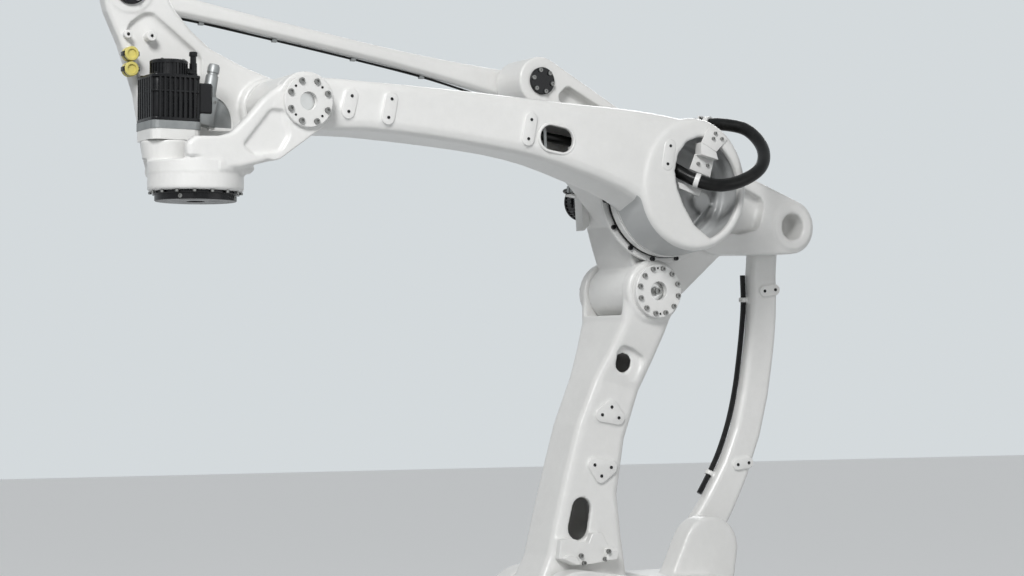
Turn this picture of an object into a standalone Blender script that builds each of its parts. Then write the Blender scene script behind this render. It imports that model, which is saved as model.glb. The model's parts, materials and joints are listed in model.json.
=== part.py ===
"""Palletizing robot arm with two parallel linkages, modelled as its separate pieces.

Metres, +Z up. The robot reaches along +X, and its left side faces +Y. The origin is on the
floor, on the axis that the robot swivels about. The plane Y = 0 holds that axis and the tool's.
"""

import math

import bmesh
import bpy
from mathutils import Vector

# Fits and finish
GAP = 0.0003
RUNNING_GAP = 0.0010
SIDES = 32
FINE_SIDES = 20
EDGE_ROUND = 0.008

# Axis places, each pair is X and Z
SHOULDER = Vector((0.400, 0.900))
LOWER_ARM_LENGTH = 1.236
LOWER_ARM_LEAN = math.radians(15.5)
ELBOW_FROM_KNEE = Vector((-0.031, 0.356))
REAR_PIN_FROM_KNEE = Vector((-0.624, 0.252))
UPPER_ARM_LENGTH = 1.500
UPPER_ARM_RISE = math.radians(8.8)
LEVER_PIN_FROM_ELBOW = Vector((0.488, 0.379))
TOOL_AXIS_FROM_WRIST = 0.322

KNEE = SHOULDER + LOWER_ARM_LENGTH * Vector((-math.sin(LOWER_ARM_LEAN), math.cos(LOWER_ARM_LEAN)))
ELBOW = KNEE + ELBOW_FROM_KNEE
REAR_PIN = KNEE + REAR_PIN_FROM_KNEE
FOOT_PIN = SHOULDER + REAR_PIN_FROM_KNEE
WRIST = ELBOW + UPPER_ARM_LENGTH * Vector((math.cos(UPPER_ARM_RISE), math.sin(UPPER_ARM_RISE)))
LEVER_PIN = ELBOW + LEVER_PIN_FROM_ELBOW
WRIST_PIN = WRIST + LEVER_PIN_FROM_ELBOW
TOOL_X = WRIST.x + TOOL_AXIS_FROM_WRIST

# Planes across the robot, near is +Y
ARM_RIM_Y = 0.190
ARM_BACK_Y = 0.012
REDUCER_SPLIT_Y = -0.022
FRAME_NEAR_Y = -0.055
FRAME_FAR_Y = -0.325
FORK_NEAR_Y = -0.030
FORK_FAR_Y = -0.382
FORK_WALL = 0.047
SHANK_NEAR_Y = -0.096
SHANK_FAR_Y = -0.296
HUB_NEAR_Y = -0.080
HUB_FAR_Y = -0.300
STOP_FACE_Y = -0.084
REAR_ARM_FAR_Y = -0.206
LINK_THICKNESS = 0.060
FOOT_CHEEK_NEAR_Y = -0.107
LEVER_FAR_Y = -0.236
ROD_THICKNESS = 0.070
PLATE_NEAR_Y = -0.170
PLATE_FAR_Y = -0.240
WRIST_FORK_IN_Y = 0.105
WRIST_FORK_OUT_Y = 0.155
WRIST_FLANGE = 0.015

# Base and swivel
FOOT_SIZE = 0.760
FOOT_THICKNESS = 0.035
FOOT_HOLE_EDGE = 0.060
FOOT_HOLE_RADIUS = 0.014
PEDESTAL_RADIUS = 0.270
PEDESTAL_FLANGE_RADIUS = 0.290
PEDESTAL_TOP = 0.340
SLEW_HEIGHT = 0.040
SLEW_BORE_RADIUS = 0.190
SLEW_SPLIT_RADIUS = 0.238
SLEW_OUTER_RADIUS = 0.286
SLEW_SIDES = 48
BASE_WALL = 0.030
COLUMN_WALL = 0.028
DISC_RADIUS = 0.370
DISC_THICKNESS = 0.080
BLOCK_TOP = 1.060
CHEEK_RADIUS = 0.205
CHEEK_THICKNESS = 0.100
CHEEK_GAP = 0.003
FOOT_CHEEK_RADIUS = 0.118
SHOULDER_SHAFT_RADIUS = 0.060
SHOULDER_REDUCER_RADIUS = 0.185
SHOULDER_REDUCER_DEPTH = 0.050

# Motors
MOTOR_WIDTH = 0.170
SMALL_MOTOR_WIDTH = 0.160
TOOL_MOTOR_WIDTH = 0.166
MOTOR_RIB = 0.006
MOTOR_RIBS = 3

# Lower arm
HUB_RADIUS = 0.195
FORK_RADIUS = 0.115
KNEE_BARREL_RADIUS = 0.103
KNEE_FLANGE_RADIUS = 0.096
KNEE_FLANGE_THICKNESS = 0.024
KNEE_FLANGE_BORE = 0.038
KNEE_PIN_RADIUS = 0.036
KNEE_BEARING_RADIUS = 0.056
KNEE_BEARING_WIDTH = 0.040
SHANK_WALL = 0.022
PORT_RADIUS = 0.034
PORT_RECESS_Y = -0.0865
STOP_THICKNESS = 0.030
STOP_BLOCK_THICKNESS = 0.046

# Elbow frame
ELBOW_BARREL_RADIUS = 0.185
LEVER_INSET = 0.002
FRAME_WALL = 0.026
GUSSET_FROM_ELBOW = Vector((-0.255, -0.105))
GUSSET_RADIUS = 0.106
REAR_BOSS_HEIGHT = 0.007
REAR_BOSS_RADIUS = 0.102
REAR_BORE_RADIUS = 0.049
LEVER_BOSS_RADIUS = 0.087
REDUCER_CASE_RADIUS = 0.222
REDUCER_OUTPUT_RADIUS = 0.234

# Upper arm
RIM_RADIUS = 0.216
HOUSING_RADIUS = 0.233
OPENING_RADIUS = 0.186
ARM_WALL = 0.020
ARM_FLOOR = 0.022
HOUSING_LEDGE = 0.026
WRIST_BARREL_RADIUS = 0.098
WRIST_PIN_RADIUS = 0.028

# Links
LINK_WIDTH = 0.117
LINK_PIN_RADIUS = 0.030
FOOT_EYE_RADIUS = 0.073
ROD_EYE_RADIUS = 0.058
BUSH_WALL = 0.008

# Wrist and tool
TOOL_HOUSING_RADIUS = 0.155
TOOL_HOUSING_LOW = -0.296
TOOL_HOUSING_HIGH = -0.205
REDUCER_RING_THICKNESS = 0.010
TOOL_FLANGE_RADIUS = 0.132
TOOL_FLANGE_THICKNESS = 0.019
TOOL_FLANGE_BORE = 0.040
TOOL_SPIGOT_RADIUS = 0.062
WRIST_BOSS_RADIUS = 0.108
WRIST_FLANGE_RADIUS = 0.0725
PIN_CAP_THICKNESS = 0.012
TOOL_MOTOR_FROM_AXIS = Vector((0.0675, -0.070))

# Hoses
ELBOW_HOSE_RADIUS = 0.0230
ARM_HOSE_RADIUS = 0.0160
LINK_HOSE_RADIUS = 0.0100

HOSE_STEP = 2.6
HOSE_GAP = 0.0006
HOSE_RING_WALL = 0.007
HOSE_RING_LENGTH = 0.020

# Hose routes, X and Z from the elbow and Y in the robot
ELBOW_HOSE_ROUTE = ((-0.215, -0.100, 0.2610), (-0.250, -0.030, 0.2615), (-0.305, 0.060, 0.236), (-0.312, 0.150, 0.165),
                    (-0.262, 0.218, 0.090), (-0.170, 0.244, 0.036), (-0.075, 0.234, 0.012), (0.000, 0.196, 0.028),
                    (0.048, 0.140, 0.066), (0.090, 0.100, 0.105))
ARM_HOSE_ROUTE = ((0.150, 0.090, 0.095), (0.300, 0.090, 0.130), (0.450, 0.095, 0.150), (0.600, 0.095, 0.172),
                  (0.800, 0.085, 0.200), (1.000, 0.060, 0.222), (1.160, 0.030, 0.236))

PAINT = ("white_paint", (0.86, 0.86, 0.84), 0.35, 0.0)
BLACK = ("black_satin", (0.012, 0.012, 0.013), 0.42, 0.0)
STEEL = ("machined_steel", (0.56, 0.56, 0.55), 0.32, 1.0)
GREY = ("grey_metal", (0.30, 0.31, 0.31), 0.45, 0.6)
RUBBER = ("black_rubber", (0.010, 0.010, 0.010), 0.62, 0.0)
YELLOW = ("yellow_plastic", (0.78, 0.68, 0.22), 0.45, 0.0)

parts = bpy.data.collections.new("palletizing_robot_arm")
cutters = bpy.data.collections.new("cutters")


def clear_scene():
    """Take away whatever the file holds, so that the model stands alone."""
    for old in list(bpy.data.objects):
        bpy.data.objects.remove(old, do_unlink=True)
    bpy.context.scene.collection.children.link(parts)
    bpy.context.scene.collection.children.link(cutters)


def paint(piece, finish):
    """Give a piece its finish, which pieces of the same kind share."""
    name, colour, roughness, metallic = finish
    material = bpy.data.materials.get(name)
    if material is None:
        material = bpy.data.materials.new(name)
        material.use_nodes = True
        shader = material.node_tree.nodes["Principled BSDF"]
        shader.inputs["Base Color"].default_value = (*colour, 1.0)
        shader.inputs["Roughness"].default_value = roughness
        shader.inputs["Metallic"].default_value = metallic
    piece.data.materials.clear()
    piece.data.materials.append(material)


def add_piece(name, mesh):
    """Put a mesh in the model as one piece."""
    piece = bpy.data.objects.new(name, mesh)
    parts.objects.link(piece)
    return piece


def mesh_from(name, form):
    """Turn an edited form into a mesh with its faces outwards."""
    bmesh.ops.recalc_face_normals(form, faces=form.faces)
    mesh = bpy.data.meshes.new(name)
    form.to_mesh(mesh)
    form.free()
    return mesh


def point(place, y=0.0):
    """A place in the side view, as a point in space."""
    return Vector((place[0], y, place[1]))


def round_bar(name, place, low, high, radius, sides=SIDES, top_radius=None):
    """A round bar across the robot, from the plane Y = low to the plane Y = high."""
    form = bmesh.new()
    far = radius if top_radius is None else top_radius
    bmesh.ops.create_cone(form, cap_ends=True, segments=sides, radius1=radius, radius2=far, depth=high - low)
    piece = add_piece(name, mesh_from(name, form))
    piece.location = point(place, (low + high) / 2)
    piece.rotation_euler.x = -math.pi / 2
    return piece


def round_post(name, x, y, low, high, radius, sides=SIDES, top_radius=None):
    """A round bar that stands upright, from one height to another."""
    form = bmesh.new()
    far = radius if top_radius is None else top_radius
    bmesh.ops.create_cone(form, cap_ends=True, segments=sides, radius1=radius, radius2=far, depth=high - low)
    piece = add_piece(name, mesh_from(name, form))
    piece.location = (x, y, (low + high) / 2)
    return piece


def turned(name, profile, centre, across=False, sides=SIDES):
    """A turned piece: profile points are radius and height, down the outer side."""
    mesh = bpy.data.meshes.new(name)
    closed = profile[0][0] > 0.0
    edges = [(i, i + 1) for i in range(len(profile) - 1)]
    if closed:
        edges.append((len(profile) - 1, 0))
    mesh.from_pydata([(r, 0.0, h) for r, h in profile], edges, [])
    piece = add_piece(name, mesh)
    piece.location = centre
    if across:
        piece.rotation_euler.x = -math.pi / 2
    screw = piece.modifiers.new("turn", "SCREW")
    screw.steps = sides
    screw.render_steps = sides
    screw.use_merge_vertices = True
    screw.merge_threshold = 0.00001
    screw.use_smooth_shade = False
    return piece


def ring(name, place, low, high, bore, radius, sides=SIDES):
    """A plain ring across the robot."""
    half = (high - low) / 2
    profile = [(bore, half), (radius, half), (radius, -half), (bore, -half)]
    return turned(name, profile, point(place, (low + high) / 2), across=True, sides=sides)


def box(name, low, high):
    """A block between two opposite corners."""
    form = bmesh.new()
    bmesh.ops.create_cube(form, size=1.0)
    size = Vector(high) - Vector(low)
    bmesh.ops.scale(form, vec=size, verts=form.verts)
    piece = add_piece(name, mesh_from(name, form))
    piece.location = (Vector(high) + Vector(low)) / 2
    return piece


def slab(name, outline, low, high, upright=False):
    """A flat outline given a thickness: across the robot, or upwards if upright."""
    curve = bpy.data.curves.new(name, "CURVE")
    curve.dimensions = "2D"
    curve.fill_mode = "BOTH"
    curve.extrude = (high - low) / 2
    spline = curve.splines.new("POLY")
    spline.points.add(len(outline) - 1)
    for spot, place in zip(spline.points, outline):
        spot.co = (place[0], place[1], 0.0, 1.0)
    spline.use_cyclic_u = True
    middle = (low + high) / 2
    if upright:
        return solid_from_curve(name, curve, (0.0, 0.0, middle), 0.0)
    return solid_from_curve(name, curve, (0.0, middle, 0.0), math.pi / 2)


def solid_from_curve(name, curve, location, turn):
    """Make a curve a closed mesh, so that it can be cut or joined."""
    guide = bpy.data.objects.new(name + "_guide", curve)
    bpy.context.scene.collection.objects.link(guide)
    guide.location = location
    guide.rotation_euler.x = turn
    bpy.context.view_layer.update()
    evaluated = guide.evaluated_get(bpy.context.evaluated_depsgraph_get())
    mesh = bpy.data.meshes.new_from_object(evaluated)
    form = bmesh.new()
    form.from_mesh(mesh)
    bmesh.ops.remove_doubles(form, verts=form.verts, dist=0.00001)
    bpy.data.meshes.remove(mesh)
    piece = add_piece(name, mesh_from(name, form))
    piece.matrix_world = guide.matrix_world
    bpy.data.objects.remove(guide, do_unlink=True)
    return piece


def loft(name, rings, centre=(0.0, 0.0, 0.0)):
    """A skin through rings of points that have the same count, closed at both ends."""
    form = bmesh.new()
    loops = [[form.verts.new(Vector(spot) - Vector(centre)) for spot in loop] for loop in rings]
    count = len(loops[0])
    for first, second in zip(loops, loops[1:]):
        for i in range(count):
            j = (i + 1) % count
            form.faces.new((first[i], first[j], second[j], second[i]))
    form.faces.new(loops[0])
    form.faces.new(loops[-1])
    piece = add_piece(name, mesh_from(name, form))
    piece.location = centre
    return piece


def tube(name, route, radius, finish, sides=2):
    """A hose along a smooth curve through its own points."""
    curve = bpy.data.curves.new(name, "CURVE")
    curve.dimensions = "3D"
    curve.bevel_depth = radius
    curve.bevel_resolution = sides
    curve.use_fill_caps = True
    spots = smooth_route(route, HOSE_STEP * radius)
    spline = curve.splines.new("POLY")
    spline.points.add(len(spots) - 1)
    for place, spot in zip(spline.points, spots):
        place.co = (*spot, 1.0)
    piece = add_piece(name, curve)
    paint(piece, finish)
    return piece


def smooth_route(route, spacing):
    """Points read at an even spacing from a smooth curve through the route."""
    spots = [Vector(place) for place in route]
    ends = [2 * spots[0] - spots[1]] + spots + [2 * spots[-1] - spots[-2]]
    dense = []
    for a, b, c, d in zip(ends, ends[1:], ends[2:], ends[3:]):
        for step in range(20):
            t = step / 20
            dense.append(0.5 * (2 * b + (c - a) * t + (2 * a - 5 * b + 4 * c - d) * t * t
                                + (3 * b - a - 3 * c + d) * t ** 3))
    dense.append(spots[-1])
    length = sum((q - p).length for p, q in zip(dense, dense[1:]))
    count = max(4, round(length / spacing))
    even = [dense[0]]
    travelled = 0.0
    for p, q in zip(dense, dense[1:]):
        travelled += (q - p).length
        if travelled >= length * len(even) / count and len(even) < count:
            even.append(q)
    even.append(dense[-1])
    return even


def arc(centre, radius, start, end, count):
    """Points round a centre in the side view, angles in degrees."""
    spots = []
    for i in range(count + 1):
        angle = math.radians(start + (end - start) * i / count)
        spots.append(Vector((centre[0] + radius * math.cos(angle), centre[1] + radius * math.sin(angle))))
    return spots


def around(circles, count=28):
    """The outline of a band pulled round circles, each a centre and a radius."""
    spots = []
    for centre, radius in circles:
        spots += [tuple(s) for s in arc(centre, radius, 0, 360, count)[:-1]]
    spots = sorted(set(spots))
    lower, upper = [], []
    for chain, order in ((lower, spots), (upper, reversed(spots))):
        for s in order:
            while len(chain) > 1 and turn_of(chain[-2], chain[-1], s) <= 1e-9:
                chain.pop()
            chain.append(s)
    return lower[:-1] + upper[:-1]


def turn_of(a, b, c):
    """Positive where the way from a through b to c turns left."""
    return (b[0] - a[0]) * (c[1] - a[1]) - (b[1] - a[1]) * (c[0] - a[0])


def rounded(low, high, corner, count=4):
    """A rectangle with round corners, from its low and high corners."""
    spots = []
    corners = ((high[0] - corner, high[1] - corner, 0), (low[0] + corner, high[1] - corner, 90),
               (low[0] + corner, low[1] + corner, 180), (high[0] - corner, low[1] + corner, 270))
    for x, y, start in corners:
        spots += arc((x, y), corner, start, start + 90, count)
    return spots


def hide(piece):
    """Keep a piece that only cuts or joins another out of the model."""
    parts.objects.unlink(piece)
    cutters.objects.link(piece)
    piece.hide_render = True
    piece.display_type = "WIRE"


def boolean(piece, tool, operation):
    """Join a tool to a piece, or cut it out."""
    hide(tool)
    change = piece.modifiers.new(tool.name, "BOOLEAN")
    change.operation = operation
    change.solver = "EXACT"
    change.object = tool


def join(piece, *tools):
    """Make pieces that are cast or welded together one body."""
    for tool in tools:
        boolean(piece, tool, "UNION")


def cut(piece, *tools):
    """Cut bores, pockets and openings out of a piece."""
    for tool in tools:
        boolean(piece, tool, "DIFFERENCE")


def soften(piece, width=EDGE_ROUND, segments=1, angle=40):
    """Round the edges of a casting."""
    bevel = piece.modifiers.new("edge_round", "BEVEL")
    bevel.width = width
    bevel.segments = segments
    bevel.limit_method = "ANGLE"
    bevel.angle_limit = math.radians(angle)
    bevel.use_clamp_overlap = True
    return piece


def side_pattern(count, radius, place, start=0.0):
    """Places of a bolt circle in the side view."""
    return arc(place, radius, start, start + 360, count)[:-1]


def make_base():
    """Cast pedestal on a bolted foot, with the connector box behind it."""
    half = FOOT_SIZE / 2
    foot = slab("foot", rounded((-half, -half), (half, half), 0.09), 0.0, FOOT_THICKNESS, upright=True)
    soften(foot, 0.004, 1)
    flange = 0.030
    profile = [(0.0, PEDESTAL_TOP), (PEDESTAL_FLANGE_RADIUS, PEDESTAL_TOP),
               (PEDESTAL_FLANGE_RADIUS, PEDESTAL_TOP - flange), (PEDESTAL_RADIUS, PEDESTAL_TOP - 2 * flange),
               (PEDESTAL_RADIUS, 0.110), (0.330, FOOT_THICKNESS - 0.004), (0.0, FOOT_THICKNESS - 0.004)]
    pedestal = turned("base_pedestal", profile, (0.0, 0.0, 0.0), sides=SIDES)
    join(pedestal, foot)
    for sx in (-1, 1):
        for sy in (-1, 1):
            x = sx * (half - FOOT_HOLE_EDGE)
            y = sy * (half - FOOT_HOLE_EDGE)
            cut(pedestal, round_post("foot_hole", x, y, -0.01, 0.1, FOOT_HOLE_RADIUS, sides=12))
            root = PEDESTAL_RADIUS * 0.63
            tip = half - FOOT_HOLE_EDGE - 4 * FOOT_HOLE_RADIUS
            web = around([((sx * root, sy * root), 0.05), ((sx * tip, sy * tip), 0.022)], 12)
            gusset = slab("foot_web", web, FOOT_THICKNESS - 0.004, 0.075, upright=True)
            join(pedestal, gusset)
    box_back = -PEDESTAL_RADIUS - 0.085
    casing = box("connector_box", (box_back, -0.115, 0.085), (-0.200, 0.115, 0.255))
    soften(casing, 0.012, 1)
    join(pedestal, casing)
    mouth = SLEW_BORE_RADIUS - BASE_WALL
    inside = PEDESTAL_RADIUS - BASE_WALL
    hollow = [(0.0, PEDESTAL_TOP + 0.010), (mouth, PEDESTAL_TOP + 0.010), (mouth, PEDESTAL_TOP - BASE_WALL),
              (inside, PEDESTAL_TOP - 3 * BASE_WALL), (inside, FOOT_THICKNESS + 0.010),
              (inside - 0.010, FOOT_THICKNESS), (0.0, FOOT_THICKNESS)]
    cut(pedestal, turned("base_hollow", hollow, (0.0, 0.0, 0.0), sides=24))
    paint(pedestal, PAINT)
    panel_face = box_back - GAP
    panel = box("connector_panel", (panel_face - 0.006, -0.100, 0.100), (panel_face, 0.100, 0.240))
    for y, radius in ((-0.052, 0.030), (0.018, 0.024), (0.070, 0.015)):
        socket = round_post("socket", 0.0, 0.0, 0.0, 0.034, radius, sides=FINE_SIDES)
        socket.rotation_euler.y = -math.pi / 2
        socket.location = (panel_face - 0.020, y, 0.170)
        join(panel, socket)
    paint(panel, BLACK)
    low = PEDESTAL_TOP + GAP
    half_ring = SLEW_HEIGHT / 2
    profile = [(SLEW_BORE_RADIUS, half_ring), (SLEW_SPLIT_RADIUS, half_ring),
               (SLEW_SPLIT_RADIUS, -half_ring), (SLEW_BORE_RADIUS, -half_ring)]
    inner = turned("slew_ring_fixed", profile, (0.0, 0.0, low + half_ring), sides=SLEW_SIDES)
    paint(inner, STEEL)
    return [pedestal, panel, inner]


def motor(name, centre, direction, width, length, finish=BLACK):
    """A ribbed servo motor body that stands on a face and points one way."""
    half = width / 2
    form = bmesh.new()
    bmesh.ops.create_cube(form, size=1.0)
    bmesh.ops.scale(form, vec=(width, width, length), verts=form.verts)
    body = add_piece(name, mesh_from(name, form))
    soften(body, 0.022, 1)
    for side in range(4):
        for i in range(MOTOR_RIBS):
            groove_at = (i - (MOTOR_RIBS - 1) / 2) * width / (MOTOR_RIBS + 1.5)
            groove = bmesh.new()
            bmesh.ops.create_cube(groove, size=1.0)
            bmesh.ops.scale(groove, vec=(2 * MOTOR_RIB, width * 0.09, length * 0.80), verts=groove.verts)
            slot = add_piece(name + "_groove", mesh_from(name + "_groove", groove))
            slot.parent = body
            slot.location = Vector((half, 0, 0)) if side % 2 == 0 else Vector((0, half, 0))
            if side > 1:
                slot.location = -slot.location
            slot.rotation_euler.z = side * math.pi / 2
            shift = Vector((0, groove_at, 0)) if side % 2 == 0 else Vector((groove_at, 0, 0))
            slot.location += shift
            cut(body, slot)
    body.rotation_mode = "QUATERNION"
    body.rotation_quaternion = Vector((0, 0, 1)).rotation_difference(Vector(direction))
    body.location = Vector(centre) + Vector(direction) * length / 2
    paint(body, finish)
    return body


def make_swivel():
    """Cast turntable with two cheeks for the shoulder and one for the rear link."""
    low = PEDESTAL_TOP + GAP + SLEW_HEIGHT + GAP
    top = low + DISC_THICKNESS
    frame = round_post("swivel_frame", 0.0, 0.0, low, top, DISC_RADIUS, sides=48)
    soften(frame, 0.010, 1)
    near = HUB_NEAR_Y + CHEEK_GAP
    far = HUB_FAR_Y - CHEEK_GAP
    seat = top - 0.016
    cheek_outline = around([(SHOULDER, CHEEK_RADIUS), ((0.02, seat + 0.02), 0.02),
                            ((-0.08, 0.93), 0.10), ((0.30, seat + 0.02), 0.02)])
    for name, start in (("near_cheek", near), ("far_cheek", far - CHEEK_THICKNESS)):
        cheek = slab(name, cheek_outline, start, start + CHEEK_THICKNESS)
        soften(cheek)
        join(frame, cheek)
    column = slab("column", [(-0.30, seat), (0.10, seat), (0.085, BLOCK_TOP - 0.08), (0.05, BLOCK_TOP),
                             (-0.24, BLOCK_TOP), (-0.33, BLOCK_TOP - 0.10), (-0.33, seat + 0.10)],
                  far - CHEEK_THICKNESS + 0.004, near + CHEEK_THICKNESS - 0.004)
    soften(column, 0.03, 1)
    join(frame, column)
    ear = slab("foot_ear", around([(FOOT_PIN, FOOT_CHEEK_RADIUS), ((-0.21, 0.95), 0.10), ((-0.08, 0.98), 0.06)]),
               REAR_ARM_FAR_Y, FOOT_CHEEK_NEAR_Y)
    soften(ear, 0.010, 1)
    join(frame, ear)
    bore_top = top + COLUMN_WALL
    cut(frame, round_post("column_mouth", 0.0, 0.0, low - 0.01, bore_top, SLEW_BORE_RADIUS - 0.025, sides=24))
    hollow = slab("column_hollow", [(-0.30, top + 0.006), (0.07, top + 0.006), (0.055, BLOCK_TOP - 0.10),
                                    (0.03, BLOCK_TOP - COLUMN_WALL), (-0.23, BLOCK_TOP - COLUMN_WALL),
                                    (-0.30, BLOCK_TOP - 0.11)],
                  far - CHEEK_THICKNESS + 0.004 + COLUMN_WALL, near + CHEEK_THICKNESS - 0.004 - COLUMN_WALL)
    cut(frame, hollow)
    cut(frame, round_bar("foot_bore", FOOT_PIN, REAR_ARM_FAR_Y - 0.02, FOOT_CHEEK_NEAR_Y - 0.020,
                         LINK_PIN_RADIUS + GAP, sides=FINE_SIDES))
    cut(frame, round_bar("shoulder_bore", SHOULDER, far - CHEEK_THICKNESS - 0.01, near + CHEEK_THICKNESS + 0.01,
                         SHOULDER_SHAFT_RADIUS + 2 * RUNNING_GAP, sides=32))
    paint(frame, PAINT)
    outer_low = PEDESTAL_TOP + 2 * GAP + RUNNING_GAP
    half_ring = (low - GAP - outer_low) / 2
    profile = [(SLEW_SPLIT_RADIUS + RUNNING_GAP, half_ring), (SLEW_OUTER_RADIUS, half_ring),
               (SLEW_OUTER_RADIUS, -half_ring), (SLEW_SPLIT_RADIUS + RUNNING_GAP, -half_ring)]
    outer = turned("slew_ring_turning", profile, (0.0, 0.0, outer_low + half_ring), sides=SLEW_SIDES)
    paint(outer, STEEL)
    reducer = round_post("swivel_reducer", 0.0, 0.0, PEDESTAL_TOP + 0.002, low - GAP,
                         SLEW_BORE_RADIUS - 0.010, sides=32)
    paint(reducer, GREY)
    motor_at = (-0.115, near + CHEEK_THICKNESS + 0.012 + SMALL_MOTOR_WIDTH / 2, top + GAP)
    swivel_motor = motor("swivel_motor", motor_at, (0, 0, 1), SMALL_MOTOR_WIDTH, 0.270)
    cap_low = top + GAP + 0.270 + GAP
    cap = round_post("swivel_motor_cap", motor_at[0], motor_at[1], cap_low, cap_low + 0.055, 0.066)
    soften(cap, 0.006, 1)
    paint(cap, BLACK)
    face = near + CHEEK_THICKNESS + GAP
    shell = turned("shoulder_reducer", [(0.0, SHOULDER_REDUCER_DEPTH), (0.110, SHOULDER_REDUCER_DEPTH),
                                        (0.125, SHOULDER_REDUCER_DEPTH - 0.016),
                                        (SHOULDER_REDUCER_RADIUS, SHOULDER_REDUCER_DEPTH - 0.020),
                                        (SHOULDER_REDUCER_RADIUS, 0.0), (0.0, 0.0)],
                   point(SHOULDER, face), across=True)
    paint(shell, GREY)
    stack = face + SHOULDER_REDUCER_DEPTH + GAP
    shoulder_motor = motor("shoulder_motor", point(SHOULDER, stack), (0, 1, 0), MOTOR_WIDTH, 0.240)
    cap_face = stack + 0.240 + GAP
    shoulder_cap = round_bar("shoulder_motor_cap", SHOULDER, cap_face, cap_face + 0.050, 0.070)
    soften(shoulder_cap, 0.006, 1)
    paint(shoulder_cap, BLACK)
    cover_face = far - CHEEK_THICKNESS - GAP
    cover = turned("shoulder_cover", [(0.0, 0.0), (0.105, 0.0), (0.105, -0.014), (0.090, -0.022), (0.0, -0.022)],
                   point(SHOULDER, cover_face), across=True)
    paint(cover, PAINT)
    link_far = REAR_ARM_FAR_Y - RUNNING_GAP - LINK_THICKNESS
    pin = stepped_pin("foot_pin", FOOT_PIN, link_far - RUNNING_GAP, FOOT_CHEEK_NEAR_Y - 0.022, -1)
    return [frame, outer, reducer, swivel_motor, cap, shell, shoulder_motor, shoulder_cap, cover, pin]


def stepped_pin(name, place, head_face, tip, head_side, finish=STEEL):
    """A pivot pin: a shaft from its head's face to its tip, with a wider head outside."""
    head = 0.010
    root = head_face + head_side * head / 2
    shaft = round_bar(name, place, min(root, tip), max(root, tip), LINK_PIN_RADIUS, sides=FINE_SIDES)
    start = head_face if head_side > 0 else head_face - head
    cap = round_bar(name + "_head", place, start, start + head, LINK_PIN_RADIUS + 0.012, sides=FINE_SIDES)
    join(shaft, cap)
    paint(shaft, finish)
    return shaft


def on_lower_arm(along, across=0.0):
    """A place in the side view, measured up the lower arm from the shoulder and forwards from its line."""
    up = Vector((-math.sin(LOWER_ARM_LEAN), math.cos(LOWER_ARM_LEAN)))
    forward = Vector((math.cos(LOWER_ARM_LEAN), math.sin(LOWER_ARM_LEAN)))
    return SHOULDER + along * up + across * forward


def soft_corners(corners, radius):
    """A closed outline through four corners or more, each corner cut by a small curve."""
    spots = []
    count = len(corners)
    for i, corner in enumerate(corners):
        before = (corners[i - 1] - corner).normalized()
        after = (corners[(i + 1) % count] - corner).normalized()
        spots += [corner + radius * before, corner + radius * 0.29 * (before + after), corner + radius * after]
    return spots


def arm_section(along, across, half, near, far, corner):
    """One section of the lower arm, square to its line."""
    front = on_lower_arm(along, across + half)
    rear = on_lower_arm(along, across - half)
    return soft_corners([point(front, near), point(front, far), point(rear, far), point(rear, near)], corner)


def lower_arm_sections(wall, start, end):
    """Sections of the lower arm's shank, drawn in from its outside by a wall.

    Each station is a share of the arm's length, its middle and half its width across the line, and
    its near and far faces.
    """
    stations = ((0.040, -0.010, 0.180, HUB_NEAR_Y, HUB_FAR_Y),
                (0.178, -0.030, 0.170, HUB_NEAR_Y - 0.008, HUB_FAR_Y + 0.008),
                (0.291, 0.000, 0.142, SHANK_NEAR_Y + 0.002, SHANK_FAR_Y - 0.002),
                (0.405, 0.029, 0.115, SHANK_NEAR_Y, SHANK_FAR_Y),
                (0.566, 0.040, 0.103, SHANK_NEAR_Y, SHANK_FAR_Y),
                (0.712, 0.024, 0.096, SHANK_NEAR_Y + 0.006, SHANK_FAR_Y - 0.004),
                (0.809, 0.004, 0.092, SHANK_NEAR_Y + 0.028, SHANK_FAR_Y - 0.044),
                (0.890, -0.006, 0.091, FORK_NEAR_Y - 0.016, FORK_FAR_Y + 0.016),
                (0.963, 0.000, 0.103, FORK_NEAR_Y - 0.003, FORK_FAR_Y + 0.003))
    rings = []
    for share, across, half, near, far in stations:
        if start <= share <= end:
            rings.append(arm_section(share * LOWER_ARM_LENGTH, across, half - wall, near - wall, far + wall, 0.024))
    return rings


def up_the_arm(share, across):
    """A place on the lower arm, at a share of its length from the shoulder."""
    return on_lower_arm(share * LOWER_ARM_LENGTH, across)


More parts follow.
